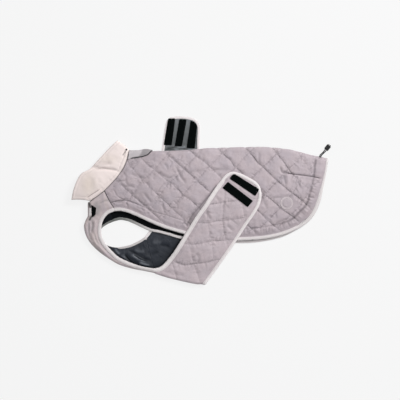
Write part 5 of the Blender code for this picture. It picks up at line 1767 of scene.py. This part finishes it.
for vertex in patch.data.vertices:
    px, py = vertex.co.x / MM, vertex.co.y / MM
    vertex.co.z += (float(near_back_level(np.float64(px), np.float64(py))) + HALF_CLOTH + 0.85
                    + 0.35 * noise.noise(Vector((px / 11, py / 11, 2.0)))) * MM
patch_cloth = new_material("patch_cloth", (0.455, 0.40, 0.415), 0.5, Sheen_Weight=0.12)
place = add_node(patch_cloth, "ShaderNodeTexCoord").outputs["Object"]
middle = (PATCH_CENTRE[0] * MM, PATCH_CENTRE[1] * MM, 0.0)
reach = vector_maths(patch_cloth, "SUBTRACT", place, middle)[0]
reach = vector_maths(patch_cloth, "MULTIPLY", reach, (1.0, 1.0, 0.0))[0]
reach = times(patch_cloth, vector_maths(patch_cloth, "LENGTH", reach)["Value"], 1 / MM)
patches = mottle(patch_cloth, place, 130.0, 4.0)
base = mixed_colour(patch_cloth, patches, tone((0.45, 0.39, 0.42)), tone((0.54, 0.465, 0.495)))
for radius, width, strength, ring in PATCH_RINGS:
    found = bell(patch_cloth, maths(patch_cloth, "SUBTRACT", reach, radius), width)
    base = mixed_colour(patch_cloth, times(patch_cloth, found, strength), base, tone(ring))
finish_material(patch_cloth, base, bumps(
    patch_cloth, (patches, 0.3, 0.001), (weave(patch_cloth, place, 1500.0), 0.35, 0.0002)))
patch.data.materials.append(patch_cloth)
bpy.ops.object.shade_smooth_by_angle(angle=math.radians(50))
print("patch faces:", len(patch.data.polygons))

# %% Snap
SNAP_AT = (-165.8, 112.0)
away = np.hypot(collar["x"] - SNAP_AT[0], collar["y"] - SNAP_AT[1])
away = away + np.where(collar["near"], 0.0, 99.0)
seat = np.unravel_index(away.argmin(), away.shape)
snap_facing = collar["normals"][seat] * np.sign(collar["normals"][seat][2])
snap_place = collar["points"][seat] + snap_facing * (near_out[seat] + 0.5)
select_only(camera)
bpy.ops.mesh.primitive_uv_sphere_add(
    segments=32, ring_count=16, radius=2.2 * MM, location=snap_place * MM, scale=(1, 1, 0.45),
    rotation=Vector(snap_facing).to_track_quat("Z", "Y").to_euler())
snap_cap = bpy.context.object
snap_cap.name = "nape_snap_cap"
apply_all(snap_cap)
snap_cap.data.materials.append(plastic)
bpy.ops.object.shade_smooth()
print("snap faces:", len(snap_cap.data.polygons))

# %% [markdown]
# ## Floor and light
#
# Shop pictures of clothes are lit softly on a near-white ground, with hardly a shadow. A floor that
# glows a little keeps its shadows faint, one broad light overhead fills the folds, and one from the
# upper right gives the quilting its relief.

# %% Floor and light
select_only(camera)
bpy.ops.mesh.primitive_plane_add(size=6.0, location=(0, 0, -0.0006))
floor = bpy.context.object
floor.name = "floor"
floor_paint = new_material("floor_paint", (0.11, 0.11, 0.11), 0.9, Specular_IOR_Level=0.0,
                           Emission_Color=(1.0, 1.0, 1.0, 1.0), Emission_Strength=0.82)
floor.data.materials.append(floor_paint)


def soft_light(name, place, size, power):
    """A round light that looks at the middle of the coat; sizes in metres, power in watts."""
    light = placed(name, bpy.data.lights.new(name, "AREA"))
    light.data.shape, light.data.size, light.data.energy = "DISK", size, power
    light.location = place
    light.rotation_euler = (-Vector(place)).to_track_quat("-Z", "Y").to_euler()


soft_light("overhead", (0.1, 0.2, 2.4), 1.6, 13.0)
soft_light("key", (1.9, 1.6, 2.2), 1.1, 78.0)
world = bpy.data.worlds.new("studio")
world.use_nodes = True
glow = world.node_tree.nodes["Background"].inputs
glow["Color"].default_value, glow["Strength"].default_value = tone((0.96, 0.98, 1.0)), 0.28
bpy.context.scene.world = world
print("lights: overhead and key")

# %% [markdown]
# ## What rides and what replaces
#
# The coat has no joints, so every piece rides on the one body. Each piece stands for the solid it
# covers.

# %% Declarations
stands_for = [
    (back_cloth, "back", "quilted_shell"), (chest_cloth, "chest_panel", "quilted_shell"),
    (belly_band_cloth, "belly_band", "quilted_shell"), (brushed_collar, "collar", "collar_cloth"),
    (back_edge, "back_binding", "binding_tape"), (leg_edge, "leg_binding", "binding_tape"),
    (near_strips[0], "near_tape_1", "hook_tape"), (near_strips[1], "near_tape_2", "hook_tape"),
    (far_strips[0], "far_tape_1", "hook_tape"), (far_strips[1], "far_tape_2", "hook_tape"),
    (far_strips[2], "far_tape_3", "hook_tape"), (throat_pad, "throat_pad", "hook_tape"),
    (throat_tab, "throat_tab", "binding_tape"), (collar_tab, "collar_tab", "collar_cloth"),
    (placket_lip, "leash_placket", "placket_cloth"), (patch, "round_patch", "quilted_shell"),
    (snap_cap, "nape_snap", "black_plastic"), (eyelet_ring, "eyelet", "black_plastic"),
    (toggle, "toggle", "black_plastic"), (cord_ends[0][0], "hem_cord_1", "black_cord"),
    (cord_ends[1][0], "hem_cord_2", "black_cord")]
for piece, node, slot in stands_for:
    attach(piece, "root")
    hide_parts(node)
for rib in ribs:
    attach(rib, "root")

print("pieces:", len(stands_for) + len(ribs), "sheets: 4, cords:", len(cord_ends))
